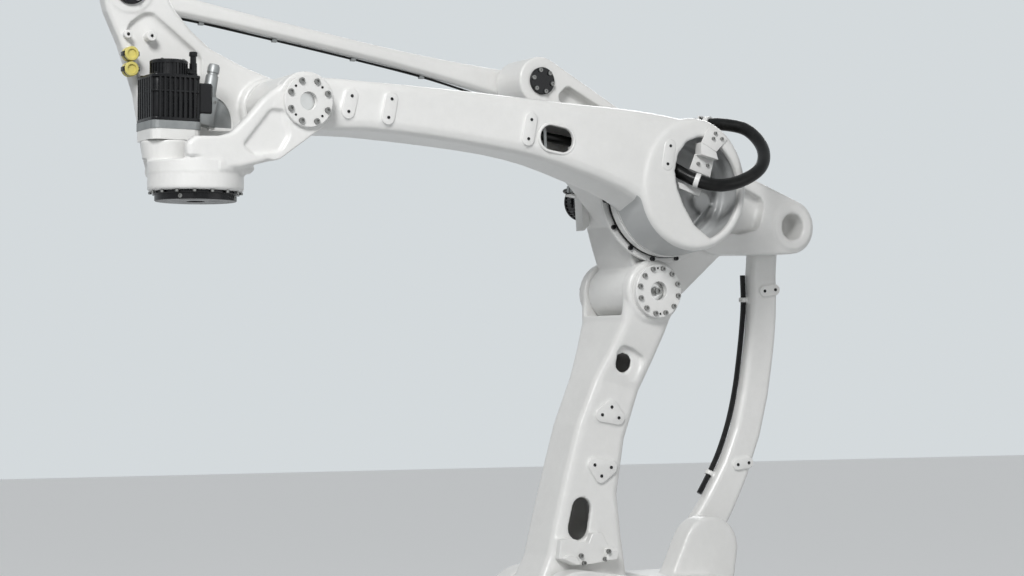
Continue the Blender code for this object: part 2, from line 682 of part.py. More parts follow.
def make_lower_arm():
    """Hollow cast arm with a hub below and a fork above, and what is bolted to it."""
    arm = loft("lower_arm", lower_arm_sections(0.0, 0.0, 2.0), point(SHOULDER))
    hub = round_bar("hub", SHOULDER, HUB_FAR_Y, HUB_NEAR_Y, HUB_RADIUS, sides=48)
    soften(hub, 0.010, 1)
    head = round_bar("fork_head", KNEE, FORK_FAR_Y, FORK_NEAR_Y, FORK_RADIUS)
    soften(head, 0.008, 1)
    join(arm, hub, head)
    spots = ((0.643, 0.033), (0.613, 0.064), (0.619, -0.006)), ((0.467, 0.047), (0.474, -0.022), (0.442, 0.009))
    for group in spots:
        places = [up_the_arm(share, across) for share, across in group]
        pad = slab("sensor_pad", around([(place, 0.026) for place in places], 12),
                   SHANK_NEAR_Y - 0.020, SHANK_NEAR_Y + 0.008)
        soften(pad, 0.005, 1)
        join(arm, pad)
    stop_pad = slab("stop_pad", stop_outline(), SHANK_NEAR_Y - 0.030, STOP_FACE_Y)
    join(arm, stop_pad)
    cut(arm, loft("arm_cavity", lower_arm_sections(SHANK_WALL, 0.17, 0.82), point(SHOULDER)))
    port = round_bar("hose_port", up_the_arm(0.776, 0.030), SHANK_NEAR_Y - 0.05, 0.0, PORT_RADIUS, sides=FINE_SIDES)
    recess = slab("port_recess", [up_the_arm(share, across) for share, across in
                                  ((0.824, 0.052), (0.824, 0.020), (0.812, -0.036), (0.800, -0.046), (0.745, -0.040),
                                   (0.732, -0.030), (0.732, -0.014), (0.752, 0.030), (0.790, 0.070), (0.812, 0.068))],
                  PORT_RECESS_Y, 0.0)
    oblong = slab("oblong_port", around([(up_the_arm(0.279, 0.048), 0.042), (up_the_arm(0.336, 0.052), 0.040)], 20),
                  SHANK_NEAR_Y - 0.05, 0.0)
    inner_near = FORK_NEAR_Y - FORK_WALL
    inner_far = FORK_FAR_Y + FORK_WALL
    depth = KNEE_BARREL_RADIUS + 0.009
    floor = [(0.25, -depth), (0.25, 0.25), (-0.25, 0.25), (-0.25, -0.233 - depth), (0.041, -depth)]
    slot = slab("fork_slot", [on_lower_arm(LOWER_ARM_LENGTH + along, across) for across, along in floor],
                inner_far, inner_near)
    cut(arm, port, recess, oblong, slot)
    cut(arm, round_bar("knee_bore", KNEE, FORK_FAR_Y - 0.01, FORK_NEAR_Y + 0.01, KNEE_PIN_RADIUS + GAP, sides=FINE_SIDES))
    cut(arm, round_bar("shaft_bore", SHOULDER, HUB_FAR_Y - 0.01, HUB_NEAR_Y + 0.01, SHOULDER_SHAFT_RADIUS + GAP,
                       sides=32))
    paint(arm, PAINT)
    shaft_end = HUB_NEAR_Y + CHEEK_GAP + CHEEK_THICKNESS - 0.004
    shaft_start = HUB_FAR_Y - CHEEK_GAP - CHEEK_THICKNESS + 0.004
    shaft = round_bar("shoulder_shaft", SHOULDER, shaft_start, shaft_end, SHOULDER_SHAFT_RADIUS, sides=32)
    paint(shaft, STEEL)
    pin = round_bar("knee_pin", KNEE, FORK_FAR_Y + 0.002, FORK_NEAR_Y - 0.002, KNEE_PIN_RADIUS, sides=FINE_SIDES)
    bolt = round_bar("pin_bolt", KNEE, FORK_NEAR_Y - 0.004, FORK_NEAR_Y + 0.012, 0.017, sides=6)
    join(pin, bolt)
    paint(pin, STEEL)
    flanges = []
    for name, face, outward in (("knee_flange_near", FORK_NEAR_Y, 1), ("knee_flange_far", FORK_FAR_Y, -1)):
        low = face + GAP if outward > 0 else face - GAP - KNEE_FLANGE_THICKNESS
        flange = ring(name, KNEE, low, low + KNEE_FLANGE_THICKNESS, KNEE_FLANGE_BORE, KNEE_FLANGE_RADIUS)
        paint(flange, PAINT)
        flanges.append(flange)
    bracket = make_stop_bracket()
    return [arm, shaft, pin, bracket, *flanges]


def stop_outline():
    """The outline of the stop bracket's plate: shares of the arm's length, and places across it."""
    spots = ((0.170, 0.056), (0.177, 0.120), (0.231, 0.130), (0.243, 0.098), (0.241, 0.055), (0.244, 0.017),
             (0.274, 0.010), (0.282, -0.030), (0.250, -0.068), (0.249, -0.108), (0.2185, -0.112), (0.204, -0.066),
             (0.187, -0.012))
    return [up_the_arm(share, across) for share, across in spots]


def make_stop_bracket():
    """Bolted stop that limits how far the lower arm leans: a plate and two thicker blocks."""
    bracket = slab("stop_bracket", stop_outline(), STOP_FACE_Y + GAP, STOP_FACE_Y + STOP_THICKNESS)
    soften(bracket, 0.004, 1)
    blocks = (((0.172, 0.058), (0.179, 0.116), (0.196, 0.094), (0.197, 0.058), (0.178, 0.032)),
              ((0.243, -0.050), (0.246, -0.104), (0.220, -0.108), (0.208, -0.066)))
    for outline in blocks:
        block = slab("stop_block", [up_the_arm(share, across) for share, across in outline], STOP_FACE_Y + 0.004,
                     STOP_FACE_Y + STOP_BLOCK_THICKNESS)
        soften(block, 0.004, 1)
        join(bracket, block)
    paint(bracket, PAINT)
    return bracket


def stand_seat(x):
    """Height above the elbow axis of what the hose stand is bolted to: the barrel, or the lever's back."""
    root = ELBOW_BARREL_RADIUS - LEVER_INSET
    reach = LEVER_PIN_FROM_ELBOW.length
    lean = math.atan2(LEVER_PIN_FROM_ELBOW.y, LEVER_PIN_FROM_ELBOW.x)
    lean += math.acos((root - LEVER_BOSS_RADIUS) / reach)
    lever_back = (root - x * math.cos(lean)) / math.sin(lean)
    barrel_top = math.sqrt(ELBOW_BARREL_RADIUS ** 2 - x ** 2)
    return max(lever_back, barrel_top) + GAP


def frame_outline(gusset):
    """The elbow frame's middle in the side view: elbow barrel, narrow neck, knee barrel and gusset."""
    neck = [ELBOW + Vector(s) for s in ((0.108, -0.225), (0.134, -0.143))]
    return (arc(KNEE, KNEE_BARREL_RADIUS, 228.5, 415, 20) + neck
            + arc(ELBOW, ELBOW_BARREL_RADIUS - 0.004, -38, 97, 14) + arc(gusset, GUSSET_RADIUS, 97, 228.5, 10))


def make_elbow_frame():
    """Cast frame that stays level: knee barrel, elbow barrel, rear arm and lever in one piece."""
    frame = round_bar("elbow_frame", ELBOW, FRAME_FAR_Y, FRAME_NEAR_Y, ELBOW_BARREL_RADIUS, sides=48)
    soften(frame, 0.010, 1)
    body_near = FORK_NEAR_Y - FORK_WALL - 0.003
    body_far = FORK_FAR_Y + FORK_WALL + 0.003
    gusset = ELBOW + GUSSET_FROM_ELBOW
    body = slab("frame_body", frame_outline(gusset), body_far, body_near)
    soften(body, 0.010, 1, angle=50)
    rear = slab("rear_arm", around([(ELBOW + Vector((-0.170, 0.020)), 0.135), (gusset, GUSSET_RADIUS + 0.006),
                                    (REAR_PIN, REAR_BOSS_RADIUS)], 24), REAR_ARM_FAR_Y, FRAME_NEAR_Y - 0.002)
    soften(rear, 0.016, 1, angle=50)
    lever = slab("lever", around([(ELBOW, ELBOW_BARREL_RADIUS - LEVER_INSET), (LEVER_PIN, LEVER_BOSS_RADIUS)], 28),
                 LEVER_FAR_Y, FRAME_NEAR_Y - 0.003)
    soften(lever, 0.014, 1, angle=50)
    boss = round_bar("rear_boss", REAR_PIN, FRAME_NEAR_Y - 0.020, FRAME_NEAR_Y + REAR_BOSS_HEIGHT, REAR_BOSS_RADIUS - 0.014)
    soften(boss, 0.005, 1)
    join(frame, body, rear, lever, boss)
    window = [ELBOW + Vector(s) for s in ((-0.300, 0.060), (-0.402, 0.023), (-0.455, 0.000), (-0.470, -0.028),
                                          (-0.444, -0.118), (-0.356, -0.138), (-0.285, -0.130), (-0.270, -0.020))]
    pocket = slab("rear_pocket", window, FRAME_NEAR_Y - 0.045, FRAME_NEAR_Y + 0.05)
    soften(pocket, 0.012, 1)
    recess = [ELBOW + Vector(s) for s in ((0.225, 0.290), (0.380, 0.370), (0.420, 0.330), (0.330, 0.190), (0.215, 0.215))]
    hollow = slab("lever_pocket", recess, FRAME_NEAR_Y - 0.050, FRAME_NEAR_Y + 0.05)
    soften(hollow, 0.012, 1)
    blind = round_bar("rear_blind_bore", REAR_PIN, FRAME_NEAR_Y - 0.085, FRAME_NEAR_Y + 0.05, REAR_BORE_RADIUS, sides=32)
    soften(blind, 0.014, 1)
    cut(frame, round_bar("rear_pin_bore", REAR_PIN, REAR_ARM_FAR_Y - 0.02, REAR_ARM_FAR_Y + 0.052,
                         LINK_PIN_RADIUS + GAP, sides=FINE_SIDES))
    cut(frame, round_bar("lever_pin_bore", LEVER_PIN, LEVER_FAR_Y - 0.02, FRAME_NEAR_Y + 0.02,
                         LINK_PIN_RADIUS + GAP, sides=FINE_SIDES))
    cut(frame, round_bar("knee_bearing_seat", KNEE, body_far - 0.01, body_near + 0.01, KNEE_BEARING_RADIUS + GAP))
    cut(frame, blind, pocket, hollow)
    inside_near = REAR_ARM_FAR_Y + 0.080
    middle_hollow = slab("frame_hollow", around([(ELBOW, ELBOW_BARREL_RADIUS - FRAME_WALL),
                                                 (gusset, GUSSET_RADIUS - FRAME_WALL)], 20),
                         body_far + FRAME_WALL, inside_near)
    mouth = round_bar("frame_mouth", ELBOW, inside_near - 0.010, FRAME_NEAR_Y + 0.010, ELBOW_BARREL_RADIUS - 2 * FRAME_WALL,
                      sides=24)
    cut(frame, middle_hollow, mouth)
    paint(frame, PAINT)
    bearings = []
    for name, low in (("knee_bearing_near", body_near - KNEE_BEARING_WIDTH), ("knee_bearing_far", body_far)):
        bearing = ring(name, KNEE, low, low + KNEE_BEARING_WIDTH, KNEE_PIN_RADIUS + RUNNING_GAP, KNEE_BEARING_RADIUS,
                       sides=FINE_SIDES)
        paint(bearing, STEEL)
        bearings.append(bearing)
    case = round_bar("elbow_reducer_case", ELBOW, FRAME_NEAR_Y + GAP, REDUCER_SPLIT_Y, REDUCER_CASE_RADIUS)
    paint(case, GREY)
    face = body_far - GAP
    elbow_motor = motor("elbow_motor", point(ELBOW, face), (0, -1, 0), MOTOR_WIDTH, 0.235)
    cap = round_bar("elbow_motor_cap", ELBOW, face - 0.235 - GAP - 0.050, face - 0.235 - GAP, 0.070, sides=FINE_SIDES)
    soften(cap, 0.006, 1)
    paint(cap, BLACK)
    link_far = REAR_ARM_FAR_Y - RUNNING_GAP - LINK_THICKNESS
    rear_pin = stepped_pin("rear_pin", REAR_PIN, link_far - RUNNING_GAP, REAR_ARM_FAR_Y + 0.050, -1)
    rod_far = LEVER_FAR_Y - RUNNING_GAP - ROD_THICKNESS
    lever_pin = stepped_pin("lever_pin", LEVER_PIN, rod_far - RUNNING_GAP, FRAME_NEAR_Y - 0.004, -1)
    pin_cap = round_bar("lever_pin_cap", LEVER_PIN, FRAME_NEAR_Y - 0.003 + GAP, FRAME_NEAR_Y - 0.003 + GAP + PIN_CAP_THICKNESS,
                        0.048, sides=FINE_SIDES)
    soften(pin_cap, 0.002, 1)
    paint(pin_cap, BLACK)
    stand = make_hose_stand()
    return [frame, case, elbow_motor, cap, rear_pin, lever_pin, pin_cap, stand, *bearings]


def make_hose_stand():
    """Bent plate on the elbow barrel, with the ring that holds the upper end of the elbow hose."""
    route = route_from(ELBOW, ELBOW_HOSE_ROUTE)
    low = route[0][1] - 0.016
    front, back = -0.055, -0.080
    spots = ((front, stand_seat(front)), (front, 0.226), (-0.062, 0.233), (-0.252, 0.2345), (-0.252, 0.2285),
             (back, 0.226), (back, stand_seat(back)))
    stand = slab("hose_stand", [ELBOW + Vector(s) for s in spots], low, low + 0.050)
    holder = hose_ring("hose_ring", route, ELBOW_HOSE_RADIUS, route[0])
    join(stand, holder)
    paint(stand, PAINT)
    return stand


def link_line(t):
    """The curved middle line of the rear link, from its foot pin to its upper pin."""
    bow = ((0.0, 0.0), (0.09, -0.043), (0.16, -0.071), (0.26, -0.099), (0.38, -0.116), (0.51, -0.112),
           (0.66, -0.090), (0.77, -0.064), (0.88, -0.022), (1.0, 0.0))
    for (a, p), (b, q) in zip(bow, bow[1:]):
        if a <= t <= b:
            share = (t - a) / (b - a)
            offset = p + (q - p) * share
            break
    axis = REAR_PIN - FOOT_PIN
    side = Vector((axis.y, -axis.x)).normalized()
    return FOOT_PIN + t * axis + offset * side


def make_rear_link():
    """Bowed flat link between the swivel and the elbow frame, with its bushes, clips and hose."""
    near = REAR_ARM_FAR_Y - RUNNING_GAP
    far = near - LINK_THICKNESS
    count = 16
    line = [link_line(0.02 + 0.96 * i / count) for i in range(count + 1)]
    left, right = [], []
    for i, spot in enumerate(line):
        ahead = line[min(i + 1, count)] - line[max(i - 1, 0)]
        flare = max(0.0, 1 - i / (0.3 * count)) * 0.014
        side = Vector((-ahead.y, ahead.x)).normalized() * (LINK_WIDTH / 2 + flare)
        left.append(spot + side)
        right.append(spot - side)
    link = slab("rear_link", left + right[::-1], far, near)
    soften(link, 0.012, 1, angle=50)
    eye = round_bar("upper_eye", REAR_PIN, far, near, 0.076)
    soften(eye, 0.010, 1)
    foot = round_bar("foot_eye", FOOT_PIN, far, near, FOOT_EYE_RADIUS)
    soften(foot, 0.010, 1)
    join(link, eye, foot)
    for t in (0.814, 0.277):
        middle = link_line(t) - Vector((0.016, 0.0))
        pad = slab("link_pad", around([(middle + Vector((-0.024, 0.003)), 0.021), (middle + Vector((0.024, -0.003)), 0.021)], 16),
                   near - 0.010, near + 0.007)
        soften(pad, 0.004, 1)
        join(link, pad)
    bushes = []
    for name, place in (("rear_link_bush_upper", REAR_PIN), ("rear_link_bush_lower", FOOT_PIN)):
        cut(link, round_bar("bush_bore", place, far - 0.01, near + 0.02, LINK_PIN_RADIUS + RUNNING_GAP + BUSH_WALL + GAP))
        bush = ring(name, place, far, near, LINK_PIN_RADIUS + RUNNING_GAP, LINK_PIN_RADIUS + RUNNING_GAP + BUSH_WALL,
                    sides=FINE_SIDES)
        paint(bush, STEEL)
        bushes.append(bush)
    route = link_hose_route()
    for place in (route[1], route[7]):
        join(link, hose_ring("link_clip", route, LINK_HOSE_RADIUS, place))
    paint(link, PAINT)
    hose = tube("link_hose", route, LINK_HOSE_RADIUS, RUBBER, sides=1)
    return [link, hose, *bushes]


def arm_line(x):
    """Height above the elbow of the line from the elbow to the wrist, at a distance ahead."""
    return x * math.tan(UPPER_ARM_RISE)


def smooth_rows(rows, steps):
    """Rows of numbers, with more rows read between them from smooth curves."""
    ends = [rows[0], *rows, rows[-1]]
    filled = []
    for a, b, c, d in zip(ends, ends[1:], ends[2:], ends[3:]):
        for step in range(steps):
            t = step / steps
            filled.append(tuple(0.5 * (2 * q + (r - p) * t + (2 * p - 5 * q + 4 * r - s) * t * t
                                       + (3 * q - p - 3 * r + s) * t ** 3) for p, q, r, s in zip(a, b, c, d)))
    filled.append(tuple(rows[-1]))
    return filled


def upper_section(x, top, near_bottom, far_bottom, near, far, corner):
    """One upright section of the upper arm, at a distance ahead of the elbow."""
    at = ELBOW.x + x
    z = ELBOW.y + arm_line(x)
    return soft_corners([Vector((at, near, z + top)), Vector((at, far, z + top - 0.006)),
                         Vector((at, far, z + far_bottom)), Vector((at, near, z + near_bottom))], corner)


# The upper arm's sections: share of the reach, top, near and far underside from the arm's line, near and far face
UPPER_ARM_STATIONS = ((0.0135, 0.241, -0.173, -0.193, 0.188, ARM_BACK_Y),
                      (0.0944, 0.240, -0.112, -0.157, 0.183, ARM_BACK_Y),
                      (0.189, 0.230, -0.055, -0.095, 0.177, ARM_BACK_Y),
                      (0.304, 0.211, -0.025, -0.060, 0.168, ARM_BACK_Y),
                      (0.418, 0.194, -0.008, -0.034, 0.159, ARM_BACK_Y),
                      (0.526, 0.178, -0.009, -0.027, 0.151, 0.004),
                      (0.641, 0.160, -0.016, -0.030, 0.141, -0.040),
                      (0.742, 0.143, -0.026, -0.038, 0.132, -0.076),
                      (0.843, 0.1255, -0.0415, -0.0515, 0.116, -0.096),
                      (0.9175, 0.1135, -0.0625, -0.0685, 0.102, -0.100),
                      (0.971, 0.099, -0.081, -0.083, 0.096, -0.096))


def upper_arm_sections(wall, start, end, steps=1):
    """Sections of the upper arm, drawn in from its outside by a wall, between two shares of its reach."""
    reach = WRIST.x - ELBOW.x
    rings = []
    for share, top, near_bottom, far_bottom, near, far in smooth_rows(UPPER_ARM_STATIONS, steps):
        if start <= share <= end:
            rings.append(upper_section(share * reach, top - wall, near_bottom + wall, far_bottom + wall, near - wall,
                                       far + wall, 0.030 - wall * 0.7))
    return rings


def arm_face(share):
    """Where the upper arm's near face lies at a share of its reach."""
    for first, second in zip(UPPER_ARM_STATIONS, UPPER_ARM_STATIONS[1:]):
        if first[0] <= share <= second[0]:
            part = (share - first[0]) / (second[0] - first[0])
            return first[4] + part * (second[4] - first[4])
    return UPPER_ARM_STATIONS[-1][4]


def housing_ring(y, radius, rise, count=48):
    """The outline of the elbow housing at one depth: a circle that is a little higher at its top."""
    spots = []
    for i in range(count):
        angle = 2 * math.pi * i / count
        reach = radius + rise * max(0.0, math.sin(angle)) ** 2
        spots.append(Vector((ELBOW.x + reach * math.cos(angle), y, ELBOW.y + reach * math.sin(angle))))
    return spots


def make_upper_arm():
    """Hollow cast arm with the round elbow housing, and the pieces that are bolted to it."""
    arm = loft("upper_arm", [housing_ring(ARM_BACK_Y, HOUSING_RADIUS, 0.020),
                             housing_ring(ARM_RIM_Y - 0.014, RIM_RADIUS + 0.002, 0.034),
                             housing_ring(ARM_RIM_Y, RIM_RADIUS - 0.010, 0.034)], point(ELBOW))
    beam = loft("arm_beam", upper_arm_sections(0.0, 0.0, 1.0, steps=2), point(ELBOW))
    barrel = round_bar("wrist_barrel", WRIST, PLATE_NEAR_Y + 0.038, WRIST_FORK_IN_Y - 0.002, WRIST_BARREL_RADIUS)
    soften(barrel, 0.006, 1)
    join(arm, beam, barrel)
    for share, height, half in ((0.4446, 0.078, 0.033), (0.7907, 0.0455, 0.031), (0.8838, 0.033, 0.026),
                                (0.0769, 0.097, 0.032)):
        add_arm_pad(arm, share, height, half)
    floor_y = ARM_BACK_Y + ARM_FLOOR
    ledge_y = floor_y + 0.045
    wall_radius = RIM_RADIUS - 0.024
    drum = round_bar("housing_hollow", ELBOW, ledge_y, ARM_RIM_Y - 0.026, wall_radius, sides=48)
    pan = round_bar("housing_pan", ELBOW, floor_y, ledge_y + 0.010, wall_radius - HOUSING_LEDGE, sides=36)
    tunnel = loft("beam_hollow", upper_arm_sections(ARM_WALL, 0.06, 0.85), point(ELBOW))
    mouth = arc(ELBOW, OPENING_RADIUS, 95, 250, 22)
    mouth += [ELBOW + Vector(s) for s in ((0.005, -0.128), (0.048, -0.062), (0.076, 0.000), (0.086, 0.060),
                                          (0.072, 0.120), (0.036, 0.165))]
    opening = slab("cable_opening", mouth, ARM_RIM_Y - 0.040, ARM_RIM_Y + 0.030)
    reach = WRIST.x - ELBOW.x
    slot_ends = [(ELBOW + Vector((share * reach, arm_line(share * reach) + 0.067)), 0.044) for share in (0.3575, 0.388)]
    slot = slab("cable_slot", around(slot_ends, 20), 0.100, 0.200)
    cut(arm, drum, pan, tunnel, opening, slot)
    hub_cover = round_bar("hub_cover", ELBOW + Vector((-0.112, -0.030)), floor_y - 0.004, floor_y + 0.026, 0.038, sides=16)
    rib = slab("floor_rib", [ELBOW + Vector(s) for s in ((-0.135, -0.062), (-0.127, -0.054), (-0.072, -0.112),
                                                         (-0.066, -0.148), (-0.078, -0.148), (-0.082, -0.118))],
               floor_y - 0.004, floor_y + 0.022)
    join(arm, hub_cover, rib)
    route = route_from(ELBOW, ARM_HOSE_ROUTE)
    for place, foot in ((route[2], 0.038), (route[5], 0.139)):
        holder = hose_ring("arm_clip", route, ARM_HOSE_RADIUS, place)
        spot = holder.location
        post = box("arm_clip_post", (spot.x - 0.007, spot.y - 0.012, ELBOW.y + foot),
                   (spot.x + 0.007, spot.y + 0.012, spot.z - ARM_HOSE_RADIUS - HOSE_GAP - 0.0008))
        join(arm, holder, post)
    cut(arm, round_bar("wrist_bore", WRIST, PLATE_NEAR_Y, WRIST_FORK_IN_Y + 0.02, WRIST_PIN_RADIUS + RUNNING_GAP
                       + BUSH_WALL + GAP))
    paint(arm, PAINT)
    output = round_bar("elbow_reducer_output", ELBOW, REDUCER_SPLIT_Y + RUNNING_GAP, ARM_BACK_Y - GAP,
                       REDUCER_OUTPUT_RADIUS, sides=48)
    soften(output, 0.004, 1)
    paint(output, GREY)
    bushes = []
    ends = (("wrist_bush_far", PLATE_NEAR_Y + 0.040), ("wrist_bush_near", WRIST_FORK_IN_Y - 0.004 - 0.045))
    for name, low in ends:
        bush = ring(name, WRIST, low, low + 0.045, WRIST_PIN_RADIUS + RUNNING_GAP, WRIST_PIN_RADIUS + RUNNING_GAP + BUSH_WALL,
                    sides=FINE_SIDES)
        paint(bush, STEEL)
        bushes.append(bush)
    return [arm, output, *bushes]


def add_arm_pad(arm, share, height, half):
    """An oblong pad with two tapped holes, raised on the near face of the upper arm."""
    face = arm_face(share)
    x = share * (WRIST.x - ELBOW.x)
    middle = ELBOW + Vector((x, arm_line(x) + height))
    pad = slab("arm_pad", around([(middle + Vector((-0.006, half)), 0.024), (middle + Vector((0.006, -half)), 0.024)], 12),
               face - 0.02, face + 0.006)
    soften(pad, 0.004, 1)
    join(arm, pad)


def rod_outline(count=12):
    """The rod's side view: deep at both eyes and slim between them."""
    axis = (WRIST_PIN - LEVER_PIN).normalized()
    side = Vector((-axis.y, axis.x))
    upper, lower = [], []
    for i in range(count + 1):
        t = i / count
        depth = 0.029 + 0.026 * max(0.0, 1 - t / 0.42) ** 2 + 0.016 * max(0.0, (t - 0.62) / 0.38) ** 2
        middle = LEVER_PIN + t * UPPER_ARM_LENGTH * axis
        upper.append(middle + depth * side)
        lower.append(middle - depth * side)
    return upper + lower[::-1]


def make_upper_rod():
    """Rod that keeps the wrist level, with a bush in each eye."""
    near = LEVER_FAR_Y - RUNNING_GAP
    far = near - ROD_THICKNESS
    plate_far = PLATE_FAR_Y - RUNNING_GAP
    rod = slab("upper_rod", rod_outline(), far + 0.006, plate_far - 0.004)
    soften(rod, 0.014, 1, angle=50)
    rear_eye = round_bar("rear_eye", LEVER_PIN, far, near, ROD_EYE_RADIUS)
    front_eye = round_bar("front_eye", WRIST_PIN, far, plate_far, ROD_EYE_RADIUS)
    for eye in (rear_eye, front_eye):
        soften(eye, 0.006, 1)
    join(rod, rear_eye, front_eye)
    bushes = []
    for name, place, face in (("rod_bush_rear", LEVER_PIN, near), ("rod_bush_front", WRIST_PIN, plate_far)):
        cut(rod, round_bar("rod_bore", place, far - 0.01, near + 0.01, LINK_PIN_RADIUS + RUNNING_GAP + BUSH_WALL + GAP))
        bush = ring(name, place, far, face, LINK_PIN_RADIUS + RUNNING_GAP, LINK_PIN_RADIUS + RUNNING_GAP + BUSH_WALL,
                    sides=FINE_SIDES)
        paint(bush, STEEL)
        bushes.append(bush)
    paint(rod, PAINT)
    return [rod, *bushes]


def make_wrist():
    """Cast wrist frame that stays level, the tool motor on it and its fittings."""
    tool = Vector((TOOL_X, WRIST.y))
    low = WRIST.y + TOOL_HOUSING_LOW
    high = WRIST.y + TOOL_HOUSING_HIGH
    frame = round_post("wrist_frame", TOOL_X, 0.0, low, high, TOOL_HOUSING_RADIUS, sides=48)
    soften(frame, 0.006, 1)
    plate_spots = [WRIST + Vector(s) for s in ((-0.020, 0.112), (0.086, 0.147), (0.200, 0.197), (0.272, 0.256),
                                               (0.328, 0.320), (0.392, 0.430), (0.450, 0.474), (0.540, 0.474),
                                               (0.588, 0.400), (0.562, 0.300), (0.514, 0.195), (0.458, 0.034),
                                               (0.440, -0.069), (0.423, -0.167), (0.405, -0.228), (0.200, -0.228),
                                               (0.070, -0.110), (-0.060, -0.090), (-0.108, 0.000), (-0.090, 0.070))]
    plate = slab("far_plate", plate_spots, PLATE_FAR_Y, PLATE_NEAR_Y)
    soften(plate, 0.012, 1)
    boss = round_bar("far_boss", WRIST, PLATE_FAR_Y, PLATE_NEAR_Y + 0.034, WRIST_BOSS_RADIUS)
    soften(boss, 0.008, 1)
    pin_boss = round_bar("pin_boss", WRIST_PIN, PLATE_FAR_Y + 0.0005, PLATE_NEAR_Y + 0.004, 0.082)
    shelf = box("shelf", (TOOL_X - 0.160, PLATE_NEAR_Y - 0.030, high - 0.034), (TOOL_X + 0.130, 0.120, high + 0.004))
    soften(shelf, 0.014, 1)
    motor_x = TOOL_X + TOOL_MOTOR_FROM_AXIS.x
    motor_y = TOOL_MOTOR_FROM_AXIS.y
    neck_top = high + 0.075
    neck = round_post("motor_neck", motor_x, motor_y, high - 0.010, neck_top, 0.080, top_radius=0.090)
    join(frame, plate, boss, pin_boss, shelf, neck)
    fork_spots = around([(WRIST, 0.099), (WRIST + Vector((0.115, -0.148)), 0.048)], 28)
    fork = slab("near_fork", fork_spots, WRIST_FORK_IN_Y, WRIST_FORK_OUT_Y)
    soften(fork, 0.010, 1, angle=50)
    foot_spots = [WRIST + Vector(s) for s in ((0.090, -0.188), (0.226, -0.226), (0.400, -0.240), (0.410, -0.150),
                                              (0.381, -0.128), (0.297, -0.124), (0.258, -0.112), (0.210, -0.066),
                                              (0.150, 0.003), (0.080, 0.060))]
    foot = slab("fork_foot", foot_spots, WRIST_FORK_IN_Y + 0.002, WRIST_FORK_OUT_Y - 0.002)
    soften(foot, 0.010, 1)
    join(frame, fork, foot)
    pocket = slab("fork_pocket", [WRIST + Vector(s) for s in ((0.076, -0.030), (0.126, -0.027), (0.224, -0.150),
                                                              (0.190, -0.181), (0.088, -0.166), (0.054, -0.112))],
                  WRIST_FORK_OUT_Y - 0.014, WRIST_FORK_OUT_Y + 0.02)
    soften(pocket, 0.010, 1)
    recess = slab("plate_recess", [WRIST + Vector(s) for s in ((0.401, 0.298), (0.432, 0.303), (0.462, 0.282),
                                                               (0.492, 0.258), (0.494, 0.236), (0.440, 0.060),
                                                               (0.235, 0.060), (0.235, 0.166), (0.261, 0.189),
                                                               (0.342, 0.253))],
                  PLATE_NEAR_Y - 0.018, PLATE_NEAR_Y + 0.05)
    soften(recess, 0.010, 1)
    cut(frame, round_bar("pin_bore", WRIST, PLATE_FAR_Y - 0.01, WRIST_FORK_OUT_Y + 0.01, WRIST_PIN_RADIUS + GAP, sides=FINE_SIDES))
    cut(frame, round_bar("link_pin_bore", WRIST_PIN, PLATE_FAR_Y - 0.01, PLATE_NEAR_Y + 0.02, LINK_PIN_RADIUS + GAP,
                         sides=FINE_SIDES))
    cut(frame, recess, pocket)
    paint(frame, PAINT)
    pin = round_bar("wrist_pin", WRIST, PLATE_FAR_Y + 0.002, WRIST_FORK_OUT_Y - 0.002, WRIST_PIN_RADIUS, sides=FINE_SIDES)
    paint(pin, STEEL)
    flange_low = WRIST_FORK_OUT_Y + GAP
    flange = ring("wrist_flange", WRIST, flange_low, flange_low + WRIST_FLANGE, 0.025, WRIST_FLANGE_RADIUS)
    paint(flange, PAINT)
    cap = round_bar("wrist_cap_far", WRIST, PLATE_FAR_Y - GAP - 0.012, PLATE_FAR_Y - GAP, 0.060, sides=FINE_SIDES)
    soften(cap, 0.003, 1)
    paint(cap, BLACK)
    rod_far = LEVER_FAR_Y - RUNNING_GAP - ROD_THICKNESS
    link_pin = stepped_pin("wrist_link_pin", WRIST_PIN, rod_far - RUNNING_GAP, PLATE_NEAR_Y + 0.002, -1)
    pin_cap = round_bar("wrist_link_cap", WRIST_PIN, PLATE_NEAR_Y + 0.004 + GAP, PLATE_NEAR_Y + 0.004 + GAP + PIN_CAP_THICKNESS, 0.056,
                        sides=FINE_SIDES)
    soften(pin_cap, 0.002, 1)
    paint(pin_cap, BLACK)
    mount_low = neck_top + GAP
    mount = slab("motor_mount_plate", rounded((motor_x - 0.084, motor_y - 0.084), (motor_x + 0.084, motor_y + 0.084), 0.026, 3),
                 mount_low, mount_low + 0.034, upright=True)
    paint(mount, PAINT)
    flange_at = mount_low + 0.034 + GAP
    motor_flange = slab("motor_flange", rounded((motor_x - 0.085, motor_y - 0.085), (motor_x + 0.085, motor_y + 0.085), 0.022, 3),
                        flange_at, flange_at + 0.026, upright=True)
    paint(motor_flange, GREY)
    body_at = flange_at + 0.026 + GAP
    tool_motor = motor("tool_motor", (motor_x, motor_y, body_at), (0, 0, 1), TOOL_MOTOR_WIDTH, 0.150)
    cap_at = body_at + 0.150 + GAP
    motor_cap = round_post("tool_motor_cap", motor_x, motor_y, cap_at, cap_at + 0.052, 0.062, sides=FINE_SIDES)
    soften(motor_cap, 0.006, 1)
    paint(motor_cap, BLACK)
    reducer_low = low - GAP - REDUCER_RING_THICKNESS
    rim = TOOL_HOUSING_RADIUS - 0.006
    bore = TOOL_SPIGOT_RADIUS + RUNNING_GAP / 2
    thick = REDUCER_RING_THICKNESS
    reducer = turned("tool_reducer_ring", [(bore, thick), (rim, thick), (rim, 0.0), (bore, 0.0)],
                     (TOOL_X, 0.0, reducer_low), sides=48)
    paint(reducer, BLACK)
